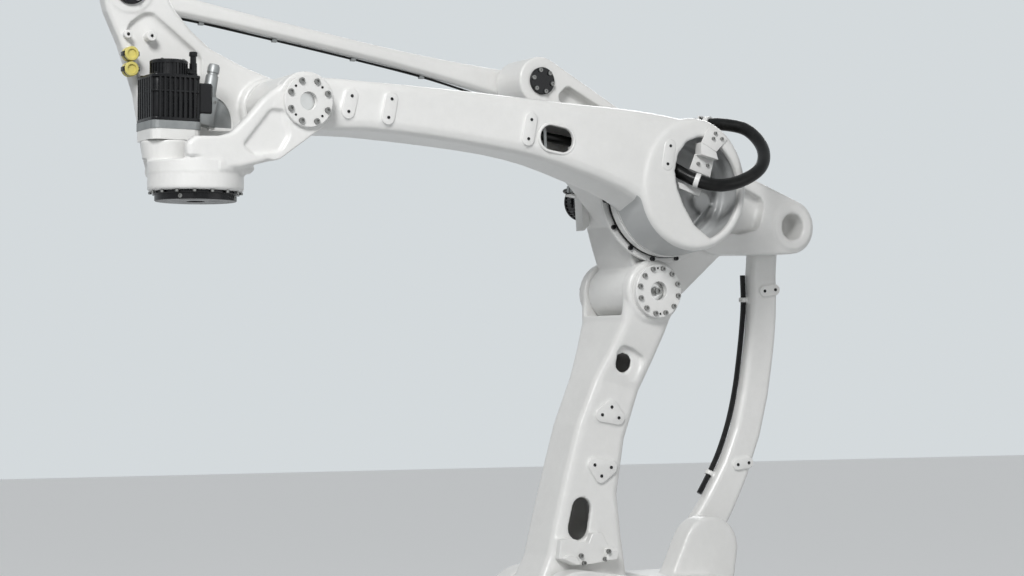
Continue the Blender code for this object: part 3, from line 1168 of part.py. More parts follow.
    fittings = make_wrist_fittings(tool, motor_x, motor_y, body_at, high)
    return [frame, pin, flange, cap, link_pin, pin_cap, mount, motor_flange, tool_motor, motor_cap, reducer, *fittings]


def make_wrist_fittings(tool, motor_x, motor_y, body_at, shelf_top):
    """Plugs and sockets on the wrist."""
    side = motor_x - TOOL_MOTOR_WIDTH / 2 - GAP
    side_box = box("motor_side_box", (side - 0.050, motor_y - 0.036, body_at + 0.030), (side, motor_y + 0.052, body_at + 0.130))
    soften(side_box, 0.006, 1)
    paint(side_box, BLACK)
    plug_x = side - 0.052
    foot_low = shelf_top + 0.004 + GAP
    plug = round_post("power_plug", plug_x - 0.012, motor_y + 0.090, foot_low + 0.020, body_at + 0.110, 0.026,
                      top_radius=0.021)
    nut = round_post("plug_nut", plug_x - 0.012, motor_y + 0.090, body_at + 0.105, body_at + 0.150, 0.024, sides=12)
    foot = box("plug_foot", (plug_x - 0.044, motor_y + 0.058, foot_low), (plug_x + 0.020, motor_y + 0.122, foot_low + 0.048))
    soften(foot, 0.006, 1)
    join(plug, nut, foot)
    paint(plug, GREY)
    sockets = []
    for name, height in (("signal_socket_upper", 0.158), ("signal_socket_lower", 0.108)):
        place = WRIST + Vector((0.492, height))
        socket = round_bar(name, place, PLATE_NEAR_Y + GAP, PLATE_NEAR_Y + 0.040, 0.021, sides=20)
        collar = round_bar("collar", place, PLATE_NEAR_Y + 0.012, PLATE_NEAR_Y + 0.022, 0.025, sides=20)
        join(socket, collar)
        paint(socket, YELLOW)
        sockets.append(socket)
    return [side_box, plug, *sockets]


def make_tool_flange():
    """Turning plate that a gripper bolts to, with its spigot in the reducer ring."""
    top = WRIST.y + TOOL_HOUSING_LOW - GAP - REDUCER_RING_THICKNESS - RUNNING_GAP
    low = top - TOOL_FLANGE_THICKNESS
    half = TOOL_FLANGE_THICKNESS / 2
    spigot = half + RUNNING_GAP + REDUCER_RING_THICKNESS * 0.8
    profile = [(TOOL_FLANGE_BORE, spigot), (TOOL_SPIGOT_RADIUS, spigot), (TOOL_SPIGOT_RADIUS, half),
               (TOOL_FLANGE_RADIUS - 0.004, half), (TOOL_FLANGE_RADIUS, half - 0.004),
               (TOOL_FLANGE_RADIUS, -half + 0.002), (TOOL_FLANGE_RADIUS - 0.002, -half), (TOOL_FLANGE_BORE, -half)]
    flange = turned("tool_flange", profile, (TOOL_X, 0.0, low + half), sides=40)
    for i in range(8):
        angle = math.pi / 8 + i * math.pi / 4
        hole = round_post("flange_hole", TOOL_X + 0.100 * math.cos(angle), 0.100 * math.sin(angle), low - 0.01,
                          low + 2 * half + 0.01, 0.0055, sides=8)
        cut(flange, hole)
    paint(flange, BLACK)
    return [flange]


def route_from(place, spots):
    """Points of a hose's route, given as X, Y and Z from a place in the side view."""
    return [(place[0] + x, y, place[1] + z) for x, y, z in spots]


def hose_ring(name, route, radius, place):
    """A ring on the straight stretch of a hose's run that lies nearest to a place."""
    spots = smooth_route(route, HOSE_STEP * radius)
    stretches = [(a, b) for a, b in zip(spots, spots[1:])]
    a, b = min(stretches, key=lambda ends: ((ends[0] + ends[1]) / 2 - Vector(place)).length)
    bore = radius + HOSE_GAP
    half = HOSE_RING_LENGTH / 2
    outer = bore + HOSE_RING_WALL
    ring_piece = turned(name, [(bore, half), (outer, half), (outer, -half), (bore, -half)], (a + b) / 2, sides=FINE_SIDES)
    ring_piece.rotation_mode = "QUATERNION"
    ring_piece.rotation_quaternion = Vector((0, 0, 1)).rotation_difference(b - a)
    return ring_piece


def make_elbow_hose():
    """Hose that loops out round the elbow, from the frame to the arm."""
    return [tube("elbow_hose", route_from(ELBOW, ELBOW_HOSE_ROUTE), ELBOW_HOSE_RADIUS, RUBBER, sides=3)]


def make_arm_fittings():
    """The hose bracket bolted to the upper arm, and the hose inside the arm."""
    face = ARM_RIM_Y + GAP
    inner = ARM_RIM_Y - 0.036
    bracket = box("hose_bracket", (ELBOW.x - 0.128, face, ELBOW.y + 0.142), (ELBOW.x - 0.042, face + 0.008, ELBOW.y + 0.232))
    web = box("bracket_web", (ELBOW.x - 0.100, inner, ELBOW.y + 0.134), (ELBOW.x - 0.030, face + 0.008, ELBOW.y + 0.144))
    lower = box("bracket_lower", (ELBOW.x - 0.078, inner, ELBOW.y + 0.086), (ELBOW.x + 0.006, inner + 0.008, ELBOW.y + 0.143))
    tongue = box("bracket_tongue", (ELBOW.x - 0.034, inner + 0.001, ELBOW.y + 0.050), (ELBOW.x - 0.006, inner + 0.020, ELBOW.y + 0.096))
    route = route_from(ELBOW, ELBOW_HOSE_ROUTE)
    holder = hose_ring("hose_ring", route, ELBOW_HOSE_RADIUS, route[7])
    join(bracket, web, lower, tongue, holder)
    paint(bracket, PAINT)
    inside = tube("arm_hose", route_from(ELBOW, ARM_HOSE_ROUTE), ARM_HOSE_RADIUS, RUBBER, sides=1)
    return [bracket, inside]


def link_hose_route():
    """Where the hose runs along the front edge of the rear link."""
    middle = REAR_ARM_FAR_Y - RUNNING_GAP - LINK_THICKNESS + 1.3 * LINK_HOSE_RADIUS
    out = LINK_WIDTH / 2 + LINK_HOSE_RADIUS + 0.0026
    route = []
    for t in (0.86, 0.78, 0.70, 0.60, 0.50, 0.40, 0.30, 0.22, 0.14):
        ahead = link_line(min(t + 0.02, 1.0)) - link_line(t - 0.02)
        side = Vector((ahead.y, -ahead.x)).normalized()
        flare = max(0.0, 1 - t / 0.3) * 0.014
        route.append(point(link_line(t) + side * (out + flare), middle))
    return route


def axis_empty(name, place, parent=None):
    """An empty on a joint's axis, which carries the pieces that turn about it."""
    empty = bpy.data.objects.new(name, None)
    parts.objects.link(empty)
    empty.location = place
    if parent is not None:
        empty.parent = parent
        empty.matrix_parent_inverse = world_matrix(parent).inverted()
    return empty


def world_matrix(thing):
    """Where a thing stands in the world, after a fresh look at the scene."""
    bpy.context.view_layer.update()
    return thing.matrix_world.copy()


def hang(pieces, empty):
    """Let pieces follow an axis without moving them."""
    inverse = world_matrix(empty).inverted()
    for piece in pieces:
        piece.parent = empty
        piece.matrix_parent_inverse = inverse


def make_all():
    """Build every piece and hang it on the axis that carries it."""
    clear_scene()
    floor = axis_empty("robot", (0.0, 0.0, 0.0))
    swivel = axis_empty("swivel_axis", (0.0, 0.0, PEDESTAL_TOP), floor)
    shoulder = axis_empty("shoulder_axis", point(SHOULDER), swivel)
    foot = axis_empty("foot_pin_axis", point(FOOT_PIN), swivel)
    knee = axis_empty("knee_axis", point(KNEE), shoulder)
    elbow = axis_empty("elbow_axis", point(ELBOW), knee)
    lever = axis_empty("lever_pin_axis", point(LEVER_PIN), knee)
    wrist = axis_empty("wrist_axis", point(WRIST), elbow)
    tool = axis_empty("tool_axis", (TOOL_X, 0.0, WRIST.y), wrist)
    hang(make_base(), floor)
    hang(make_swivel(), swivel)
    hang(make_lower_arm(), shoulder)
    hang(make_rear_link(), foot)
    hang(make_elbow_frame() + make_elbow_hose(), knee)
    hang(make_upper_arm() + make_arm_fittings(), elbow)
    hang(make_upper_rod(), lever)
    hang(make_wrist(), wrist)
    hang(make_tool_flange(), tool)


make_all()
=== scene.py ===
"""Looks of a palletizing robot arm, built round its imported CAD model.

Metres, +Z up. The arm reaches along +X and its left side faces +Y. The file follows the robot from
its foot to its tool flange, with one section for each piece or group of like pieces.
"""

import math

import bmesh
import bpy
from mathutils import Matrix, Vector, geometry
from mathutils.bvhtree import BVHTree
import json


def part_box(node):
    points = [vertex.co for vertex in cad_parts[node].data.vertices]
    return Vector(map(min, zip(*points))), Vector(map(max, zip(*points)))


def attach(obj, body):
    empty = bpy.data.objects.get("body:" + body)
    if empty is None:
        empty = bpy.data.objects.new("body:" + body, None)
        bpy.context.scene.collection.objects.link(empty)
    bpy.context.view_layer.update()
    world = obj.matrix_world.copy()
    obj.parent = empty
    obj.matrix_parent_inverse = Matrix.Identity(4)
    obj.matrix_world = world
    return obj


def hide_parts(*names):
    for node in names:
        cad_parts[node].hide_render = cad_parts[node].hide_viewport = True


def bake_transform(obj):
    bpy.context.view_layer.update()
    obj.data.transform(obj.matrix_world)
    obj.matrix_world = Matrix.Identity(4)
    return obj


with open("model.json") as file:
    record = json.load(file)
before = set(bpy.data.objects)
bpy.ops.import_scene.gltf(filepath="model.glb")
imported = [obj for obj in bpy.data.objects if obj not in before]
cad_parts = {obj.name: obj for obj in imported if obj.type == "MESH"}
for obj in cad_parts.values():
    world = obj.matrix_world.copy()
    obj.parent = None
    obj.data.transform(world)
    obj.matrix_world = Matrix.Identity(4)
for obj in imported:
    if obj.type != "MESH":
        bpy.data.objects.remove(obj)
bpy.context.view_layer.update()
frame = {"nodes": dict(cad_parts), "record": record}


# Camera
# It stands in front of the robot's left side, as the photographer did, and looks slightly upwards.
CAMERA_PLACE = (4.557, 6.988, 1.815)
CAMERA_HEADING = math.radians(29.04)
CAMERA_PITCH = math.radians(1.98)
CAMERA_LENS = 81.2
SENSOR_WIDTH = 36.0
FAR_END = 200.0

camera = bpy.data.objects.new("camera", bpy.data.cameras.new("camera"))
bpy.context.scene.collection.objects.link(camera)
camera.location = CAMERA_PLACE
camera.data.sensor_width = SENSOR_WIDTH
camera.data.lens = CAMERA_LENS
camera.data.clip_end = FAR_END
looking = Vector((-math.sin(CAMERA_HEADING) * math.cos(CAMERA_PITCH),
                  -math.cos(CAMERA_HEADING) * math.cos(CAMERA_PITCH),
                  math.sin(CAMERA_PITCH)))
camera.rotation_euler = looking.to_track_quat("-Z", "Y").to_euler()
bpy.context.scene.camera = camera
bpy.context.scene.view_settings.view_transform = "Standard"


# Studio
# A pale floor that runs out of sight, a pale surround and three large soft lamps. The key lamp
# hangs ahead of the arm and above it, so that undersides and the rear link fall into soft shade.
FLOOR_SIZE = 60.0
FLOOR_COLOUR = (0.62, 0.635, 0.645, 1.0)
FLOOR_GLOW_COLOUR = (0.78, 0.80, 0.81, 1.0)
SURROUND_COLOUR = (0.66, 0.70, 0.72, 1.0)
FLOOR_ROUGHNESS = 0.8
LAMPS = (("key", (5.5, 5.5, 7.0), 2.6, 580.0),
         ("fill", (-3.5, 7.5, 3.0), 5.0, 70.0),
         ("back", (-4.5, -5.5, 6.0), 4.0, 145.0))
LAMP_TARGET = Vector((0.7, 0.0, 1.9))
AMBIENT = 0.22
FLOOR_GLOW = 0.41



def shown_rays(tree):
    """A socket that is 1 where the studio itself is seen, directly or by way of a glossy or clear part."""
    rays = tree.nodes.new("ShaderNodeLightPath")
    shown = rays.outputs["Is Camera Ray"]
    for kind in ("Is Glossy Ray", "Is Transmission Ray"):
        either = tree.nodes.new("ShaderNodeMath")
        either.operation = "MAXIMUM"
        tree.links.new(shown, either.inputs[0])
        tree.links.new(rays.outputs[kind], either.inputs[1])
        shown = either.outputs[0]
    return shown


floor_mesh = bpy.data.meshes.new("studio_floor")
half = FLOOR_SIZE / 2
floor_corners = [(-half, -half, 0), (half, -half, 0), (half, half, 0), (-half, half, 0)]
floor_mesh.from_pydata(floor_corners, [], [(0, 1, 2, 3)])
floor = bpy.data.objects.new("studio_floor", floor_mesh)
bpy.context.scene.collection.objects.link(floor)
floor_finish = bpy.data.materials.new("studio_floor")
floor_finish.use_nodes = True
floor_mesh.materials.append(floor_finish)
floor_tree = floor_finish.node_tree
floor_shader = floor_tree.nodes["Principled BSDF"]
floor_shader.inputs["Base Color"].default_value = FLOOR_COLOUR
floor_shader.inputs["Roughness"].default_value = FLOOR_ROUGHNESS
floor_shader.inputs["Emission Color"].default_value = FLOOR_GLOW_COLOUR
floor_glow = floor_tree.nodes.new("ShaderNodeMath")
floor_glow.operation = "MULTIPLY"
floor_glow.inputs[1].default_value = FLOOR_GLOW
floor_tree.links.new(shown_rays(floor_tree), floor_glow.inputs[0])
floor_tree.links.new(floor_glow.outputs[0], floor_shader.inputs["Emission Strength"])

for lamp_name, place, size, power in LAMPS:
    lamp_data = bpy.data.lights.new(lamp_name, "AREA")
    lamp_data.size = size
    lamp_data.energy = power
    lamp = bpy.data.objects.new(lamp_name, lamp_data)
    bpy.context.scene.collection.objects.link(lamp)
    lamp.location = place
    lamp.rotation_euler = (LAMP_TARGET - Vector(place)).to_track_quat("-Z", "Y").to_euler()

world = bpy.data.worlds.new("studio")
bpy.context.scene.world = world
world.use_nodes = True
world_tree = world.node_tree
surround = world_tree.nodes["Background"]
surround.inputs["Color"].default_value = (1.0, 1.0, 1.0, 1.0)
surround.inputs["Strength"].default_value = AMBIENT
seen = world_tree.nodes.new("ShaderNodeBackground")
seen.inputs["Color"].default_value = SURROUND_COLOUR
pick = world_tree.nodes.new("ShaderNodeMixShader")
world_tree.links.new(shown_rays(world_tree), pick.inputs[0])
world_tree.links.new(surround.outputs[0], pick.inputs[1])
world_tree.links.new(seen.outputs[0], pick.inputs[2])
world_tree.links.new(pick.outputs[0], world_tree.nodes["World Output"].inputs["Surface"])


# White paint of the castings
# Satin two-pack enamel over cast iron: a slightly warm white with the faint orange peel of a spray
# coat, the slow waves of the casting under it and a little uneven gloss.
PAINT_WHITE = (0.80, 0.80, 0.785, 1.0)
PAINT_SHADE = (0.74, 0.74, 0.725, 1.0)
# Grey painted inside the elbow housing's hollow as shade, where the white paint lies in shadow.
HOUSING_SHADE_GREY = (0.44, 0.45, 0.45, 1.0)


class Value:
    """A shader socket that takes part in Python arithmetic."""

    def __init__(self, finish, socket):
        self.finish = finish
        self.socket = socket

    def combine(self, operation, first, second):
        return self.finish.maths(operation, first, second)

    def __add__(self, other):
        return self.combine("ADD", self, other)

    def __sub__(self, other):
        return self.combine("SUBTRACT", self, other)

    def __rsub__(self, other):
        return self.combine("SUBTRACT", other, self)

    def __mul__(self, other):
        return self.combine("MULTIPLY", self, other)

    __radd__ = __add__
    __rmul__ = __mul__


class Finish:
    """A material in the making, with one way to add any node."""

    def __init__(self, name):
        self.material = bpy.data.materials.new(name)
        self.material.use_nodes = True
        self.tree = self.material.node_tree
        self.shader = self.tree.nodes["Principled BSDF"]
        self.place = self.node("ShaderNodeTexCoord", {}, {}, "Object")

    def node(self, kind, settings, feeds, output=0):
        made = self.tree.nodes.new(kind)
        for key, value in settings.items():
            if key == "stops":
                self.set_stops(made.color_ramp, value)
            else:
                setattr(made, key, value)
        pairs = enumerate(feeds) if isinstance(feeds, list) else feeds.items()
        for key, feed in pairs:
            self.join(feed, made.inputs[key])
        return Value(self, made.outputs[output])

    def join(self, feed, socket):
        if isinstance(feed, Value):
            self.tree.links.new(feed.socket, socket)
        else:
            socket.default_value = feed

    def set_stops(self, ramp, stops):
        while len(ramp.elements) < len(stops):
            ramp.elements.new(1.0)
        for element, (position, shade) in zip(ramp.elements, stops):
            element.position = position
            element.color = (shade, shade, shade, 1.0)

    def noise(self, scale, detail=2.0, roughness=0.5):
        feeds = {"Vector": self.place, "Scale": scale, "Detail": detail, "Roughness": roughness}
        return self.node("ShaderNodeTexNoise", {}, feeds, "Fac")

    def ramp(self, value, low, high):
        stops = {"stops": [(low, 0.0), (high, 1.0)]}
        return self.node("ShaderNodeValToRGB", stops, {"Fac": value}, "Color")

    def blend(self, share, first, second):
        return self.node("ShaderNodeMix", {"data_type": "RGBA"}, {0: share, 6: first, 7: second}, output=2)

    def maths(self, operation, first, second):
        return self.node("ShaderNodeMath", {"operation": operation}, [first, second])

    def bump(self, height, distance, under=None):
        feeds = {"Height": height, "Distance": distance, "Strength": 1.0}
        if under is not None:
            feeds["Normal"] = under
        return self.node("ShaderNodeBump", {}, feeds, "Normal")

    def feed(self, **feeds):
        for key, value in feeds.items():
            self.join(value, self.shader.inputs[key.replace("_", " ")])
        return self.material


def make_white_paint(name="white_paint", shade_drum=None):
    """Satin white enamel. Inside a drum, given by its axis, radius and two depths, it is painted grey as
    shade.
    """
    paint = Finish(name)
    waves = paint.noise(scale=2.1, detail=3.0)
    spots = paint.noise(scale=31.0, detail=4.0, roughness=0.6)
    peel = paint.noise(scale=520.0, detail=1.0)
    tone = paint.ramp(waves * 0.7 + spots * 0.3, low=0.38, high=0.66)
    skin = paint.bump(paint.noise(scale=46.0, detail=2.0), distance=0.0006)
    skin = paint.bump(peel, distance=0.00006, under=skin)
    paint.shader.inputs["Coat Weight"].default_value = 0.25
    paint.shader.inputs["Coat Roughness"].default_value = 0.16
    colour = paint.blend(tone, PAINT_SHADE, PAINT_WHITE)
    if shade_drum:
        axis, radius, low, high = shade_drum
        x, y, z = (paint.node("ShaderNodeSeparateXYZ", {}, {"Vector": paint.place}, key) for key in "XYZ")
        ahead, above = x - axis[0], z - axis[1]
        inside = paint.maths("LESS_THAN", ahead * ahead + above * above, radius ** 2)
        deep = paint.maths("LESS_THAN", y, high) * paint.maths("GREATER_THAN", y, low)
        colour = paint.blend(inside * deep, colour, HOUSING_SHADE_GREY)
    return paint.feed(Base_Color=colour, Roughness=0.29 + 0.14 * spots, Normal=skin)


white_paint = make_white_paint()


# Black caps, motors and flanges
# Aluminium with a black satin coat, slightly greyer where it has been handled.
def make_patchy(name, colours, roughness, patches, edges=None, grain=None, grain_depth=0.0, **sockets):
    """A finish whose patches differ a little in colour and roughness, over a fine grain.

    The two colours are those outside and inside the patches. The roughness is that outside them and what
    they add to it. The edges say how hard the patches end, and sockets are set alike all over.
    """
    made = Finish(name)
    for socket, value in sockets.items():
        made.shader.inputs[socket.replace("_", " ")].default_value = value
    patch = made.noise(**patches)
    if edges:
        patch = made.ramp(patch, *edges)
    made.feed(Base_Color=made.blend(patch, *colours), Roughness=roughness[0] + roughness[1] * patch)
    if grain:
        made.feed(Normal=made.bump(made.noise(**grain), grain_depth))
    return made.material


black_satin = make_patchy("black_satin", [(0.005, 0.005, 0.006, 1.0), (0.014, 0.014, 0.015, 1.0)],
                          roughness=(0.24, 0.16), patches={"scale": 14.0, "detail": 6.0, "roughness": 0.65},
                          edges=(0.42, 0.75), grain={"scale": 700.0}, grain_depth=0.00005,
                          Specular_IOR_Level=0.28)


# Pins, bushes and bearing rings
# Ground steel, with a faint grain and a thin film of oil that dulls it in patches.
machined_steel = make_patchy("machined_steel", [(0.50, 0.50, 0.49, 1.0), (0.60, 0.60, 0.59, 1.0)],
                             roughness=(0.24, 0.16), patches={"scale": 22.0, "detail": 4.0},
                             edges=(0.35, 0.7), grain={"scale": 240.0, "detail": 3.0}, grain_depth=0.00005,
                             Metallic=1.0)


# Screw heads
# Zinc-plated steel, duller and darker than the ground pins.
screw_steel = make_patchy("screw_steel", [(0.16, 0.16, 0.155, 1.0), (0.30, 0.30, 0.29, 1.0)],
                          roughness=(0.28, 0.2), patches={"scale": 90.0}, Metallic=0.9)


# Reducer cases and plugs
# Bare cast and machined aluminium, matt and slightly blotchy.
grey_metal = make_patchy("grey_metal", [(0.25, 0.26, 0.26, 1.0), (0.36, 0.37, 0.37, 1.0)],
                         roughness=(0.40, 0.15), patches={"scale": 18.0, "detail": 5.0}, edges=(0.35, 0.7),
                         grain={"scale": 300.0}, grain_depth=0.00008, Metallic=0.7)


# Hose covers
# Black rubber with a fine cloth-cured texture.
black_rubber = make_patchy("black_rubber", [(0.004, 0.004, 0.004, 1.0), (0.012, 0.012, 0.011, 1.0)],
                           roughness=(0.28, 0.2), patches={"scale": 25.0, "detail": 5.0, "roughness": 0.6},
                           edges=(0.45, 0.8), grain={"scale": 420.0}, grain_depth=0.0001,
                           Specular_IOR_Level=0.2)


# Signal sockets
# Moulded plastic of a pale yellow, which is a little deeper in patches.
yellow_plastic = make_patchy("yellow_plastic", [(0.58, 0.50, 0.13, 1.0), (0.72, 0.64, 0.20, 1.0)],
                             roughness=(0.34, 0.12), patches={"scale": 60.0, "detail": 3.0})


# Finishes by material slot
# Every CAD node takes the finish of its slot. The screws' plating is a tone of the steel slot, and the
# painted shade inside the elbow housing goes with the white paint.
finishes = {"white_paint": white_paint, "black_satin": black_satin, "machined_steel": machined_steel,
            "screw_steel": screw_steel, "grey_metal": grey_metal, "black_rubber": black_rubber,
            "yellow_plastic": yellow_plastic}
slot_of = {s["node"]: s["material_slot"] for s in frame["record"]["subparts"]}
for node_name, node in frame["nodes"].items():
    for slot in node.material_slots:
        slot.material = finishes[slot_of[node_name]]


# Base casting and turntable
# Cast iron, painted after machining, so every edge that the mould made is round. The casting's shape
# is the CAD solid's; its skin is remade here with the round edges and smooth barrels of a casting.
BROAD_GRAIN = 0.0071
COARSE_GRAIN = 0.0062
MEDIUM_GRAIN = 0.0053
FINE_GRAIN = 0.0044
CAST_PASSES = 5
FEWER_PASSES = 4
BARREL_SIDES = 96
SAME_SPOT = 1e-6
SAME_CAD_SPOT = 1e-5
ON_AXIS = 1e-5
SHARP_ANGLE = math.radians(32)
ALL_ROUND = math.radians(180)


def new_piece(name, mesh, body, finish, sharp=SHARP_ANGLE, stands_for=None):
    """Show a mesh as a piece that rides on a body, or on none yet, and may stand for a CAD node.

    Edges past the sharp angle look sharp. With no angle every face is flat.
    """
    piece = bpy.data.objects.new(name, mesh)
    bpy.context.scene.collection.objects.link(piece)
    mesh.materials.clear()
    mesh.materials.append(finishes[finish])
    if sharp:
        mesh.shade_smooth()
        mesh.set_sharp_from_angle(angle=sharp)
    if body:
        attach(piece, body)
    if stands_for:
        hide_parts(stands_for)
    return piece


def finished_mesh(piece):
    """What a piece looks like with its modifiers applied, as a mesh of its own."""
    bpy.context.view_layer.update()
    seen_piece = piece.evaluated_get(bpy.context.evaluated_depsgraph_get())
    mesh = bpy.data.meshes.new_from_object(seen_piece)
    bpy.data.objects.remove(piece, do_unlink=True)
    return mesh


def mesh_of(form):
    """A form as a mesh, merged and with its faces outwards."""
    bmesh.ops.remove_doubles(form, verts=form.verts, dist=SAME_SPOT)
    bmesh.ops.recalc_face_normals(form, faces=form.faces)
    mesh = bpy.data.meshes.new("mesh")
    form.to_mesh(mesh)
    form.free()
    return mesh


def lathe(profile, place, turn=Matrix.Identity(3), sides=BARREL_SIDES):
    """A closed turned mesh. The profile gives radius and height; equal ends close it on itself."""
    form = bmesh.new()
    loops = []
    for radius, height in profile:
        loop = []
        for i in range(sides):
            angle = 2 * math.pi * i / sides
            spot = Vector((radius * math.cos(angle), radius * math.sin(angle), height))
            loop.append(form.verts.new(Vector(place) + turn @ spot))
        loops.append(loop)
    for first, second in zip(loops, loops[1:]):
        for i in range(sides):
            j = (i + 1) % sides
            form.faces.new((first[i], first[j], second[j], second[i]))
    if profile[0] != profile[-1]:
        form.faces.new(loops[0][::-1])
        form.faces.new(loops[-1])
    return mesh_of(form)


# Turns a lathe's axis to +Y, and to +X
ACROSS = Matrix(((1, 0, 0), (0, 0, 1), (0, -1, 0)))
AHEAD = Matrix(((0, 0, 1), (0, 1, 0), (-1, 0, 0)))


def ring_profile(bore, radius, low, high, edge=0.002):
    """The closed section of a ring with broken edges."""
    return [(bore, low), (radius - edge, low), (radius, low + edge), (radius, high - edge),
            (radius - edge, high), (bore + edge / 2, high), (bore, high - edge / 2), (bore, low)]


def disc_profile(radius, low, high, edge=0.002):
    """The section of a disc with broken edges, from its low face to its high face."""
    return [(ON_AXIS, low), (radius - edge, low), (radius, low + edge), (radius, high - edge),
            (radius - edge, high), (ON_AXIS, high)]


def casting(node_name, skins=(), grain=FINE_GRAIN, passes=CAST_PASSES, trim=None, finish=None):
    """A casting's skin: the CAD solid with more forms welded on, rounded edges and trimmed corners."""
    form = bmesh.new()
    form.from_mesh(frame["nodes"][node_name].data)
    bmesh.ops.remove_doubles(form, verts=form.verts, dist=SAME_CAD_SPOT)
    for skin in skins:
        form.from_mesh(skin)
    mesh = bpy.data.meshes.new(node_name + "_rough")
    form.to_mesh(mesh)
    form.free()
    rough = bpy.data.objects.new(node_name + "_rough", mesh)
    bpy.context.scene.collection.objects.link(rough)
    remesh = rough.modifiers.new("skin", "REMESH")
    remesh.mode = "VOXEL"
    remesh.voxel_size = grain
    mould = rough.modifiers.new("mould", "SMOOTH")
    mould.factor = 0.5
    mould.iterations = passes
    mesh = finished_mesh(rough)
    if trim:
        for vertex in mesh.vertices:
            vertex.co = trim(vertex.co)
    new_piece(node_name + "_casting", mesh, body_of_node[node_name], finish or slot_of[node_name], ALL_ROUND,
              node_name)


def axis_of(joint_name):
    """Where a joint's axis stands in the side view."""
    joint = next(j for j in frame["record"]["behaviour"]["joints"] if j["name"] == joint_name)
    return Vector((joint["pos_m"][0], joint["pos_m"][2]))


def middle_of(node_name):
    """The middle of a node's box in the side view."""
    low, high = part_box(node_name)
    return Vector(((low[0] + high[0]) / 2, (low[2] + high[2]) / 2))


def in_space(place, y):
    """A place in the side view, as a point in space."""
    return Vector((place[0], y, place[1]))


body_of_node = {n: b for b, nodes in frame["record"]["behaviour"]["bodies"].items() for n in nodes}
SHOULDER = axis_of("J2_shoulder")
KNEE = axis_of("J2_frame_follow")
FOOT_PIN = axis_of("J2_link_follow")
ELBOW = axis_of("J3_elbow")
LEVER_PIN = axis_of("J3_rod_follow")
WRIST = axis_of("J3_wrist_follow")
WRIST_PIN = WRIST + LEVER_PIN - ELBOW
TOOL_X = axis_of("J4_tool")[0]

casting("base_pedestal", grain=COARSE_GRAIN)
casting("swivel_frame", grain=BROAD_GRAIN, passes=FEWER_PASSES)

# The robot's own directions, the basis of its side view and a distance that is well outside it
FORWARD = Vector((1, 0, 0))
NEAR = Vector((0, 1, 0))
FAR = -NEAR
UP = Vector((0, 0, 1))
DOWN = -UP
AXES = (FORWARD, NEAR, UP)
SIDE = (Vector(), FORWARD, UP, NEAR)
OUTSIDE = 2.0


def joined(meshes):
    """Several meshes as one."""
    form = bmesh.new()
    for mesh in meshes:
        form.from_mesh(mesh)
    whole = bpy.data.meshes.new("joined")
    form.to_mesh(whole)
    form.free()
    return whole


def plate(outlines, low, high, edge=0.003, basis=SIDE):
    """A plate with round edges between two depths. Outlines inside the first are holes.

    The basis is an origin, the directions of an outline's two numbers and that of the depth.
    """
    curve = bpy.data.curves.new("plate", "CURVE")
    curve.dimensions = "2D"
    curve.fill_mode = "BOTH"
    curve.extrude = (high - low) / 2 - edge
    curve.bevel_depth = edge
    curve.bevel_resolution = 2
    curve.offset = -edge
    for outline in outlines:
        spline = curve.splines.new("POLY")
        spline.points.add(len(outline) - 1)
        for spot, place in zip(spline.points, outline):
            spot.co = (place[0], place[1], 0, 1)
        spline.use_cyclic_u = True
    holder = bpy.data.objects.new("plate", curve)
    bpy.context.scene.collection.objects.link(holder)
    flat = finished_mesh(holder)
    origin, across, upward, depth = basis
    turn = Matrix((across, upward, depth)).transposed().to_4x4()
    flat.transform(Matrix.Translation(origin + depth * (low + high) / 2) @ turn)
    form = bmesh.new()
    form.from_mesh(flat)
    return mesh_of(form)


def around(circles, count=28):
    """The outline of a belt round circles, each given by its place and radius."""
    spots = []
    for place, radius in circles:
        for i in range(count):
            angle = 2 * math.pi * i / count
            spots.append(Vector(place) + radius * Vector((math.cos(angle), math.sin(angle))))
    return [spots[i] for i in geometry.convex_hull_2d(spots)]


def square(half, corner, count=5):
    """The outline of a square with round corners."""
    spots = []
    for quarter, (a, b) in enumerate(((1, 1), (-1, 1), (-1, -1), (1, -1))):
        for k in range(count + 1):
            angle = math.pi / 2 * (quarter + k / count)
            middle = Vector((a, b)) * (half - corner)
            spots.append(middle + corner * Vector((math.cos(angle), math.sin(angle))))
    return spots


def turned_node(node_name, bore=0.0, edge=0.002, upright=False, finish=None, radius=None):
    """A round CAD node remade with a smooth rim and broken edges."""
    low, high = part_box(node_name)
    middle = (low + high) / 2
    radius = radius or (high.x - low.x) / 2
    if upright:
        ends, place, turn = (low.z, high.z), (middle.x, middle.y, 0.0), Matrix.Identity(3)
    else:
        ends, place, turn = (low.y, high.y), (middle.x, 0.0, middle.z), ACROSS
    profile = ring_profile(bore, radius, *ends, edge) if bore else disc_profile(radius, *ends, edge)
    new_piece(node_name + "_turned", lathe(profile, place, turn), body_of_node[node_name],
              finish or slot_of[node_name], stands_for=node_name)


def first_met(node_name, start, direction):
    """Where a straight line first meets a CAD node."""
    mesh = frame["nodes"][node_name].data
    faces = [tuple(p.vertices) for p in mesh.polygons]
    return BVHTree.FromPolygons([v.co for v in mesh.vertices], faces).ray_cast(start, direction)[0]


def near_face(node_name, place):
    """How far to the near side a CAD node reaches at a place in the side view."""
    return first_met(node_name, in_space(place, OUTSIDE), FAR).y


# Screws
# Zinc-plated socket-head screws, black heads standing in tapped holes as their painted shade, and the
# blackened ones on the tool side. One node tree makes them all: a turned head with its socket on each point
# of a pattern.
SCREW_SIDES = 14
SOCKET_DEPTH_SHARE = 0.6
SOCKET_WIDTH_SHARE = 0.52


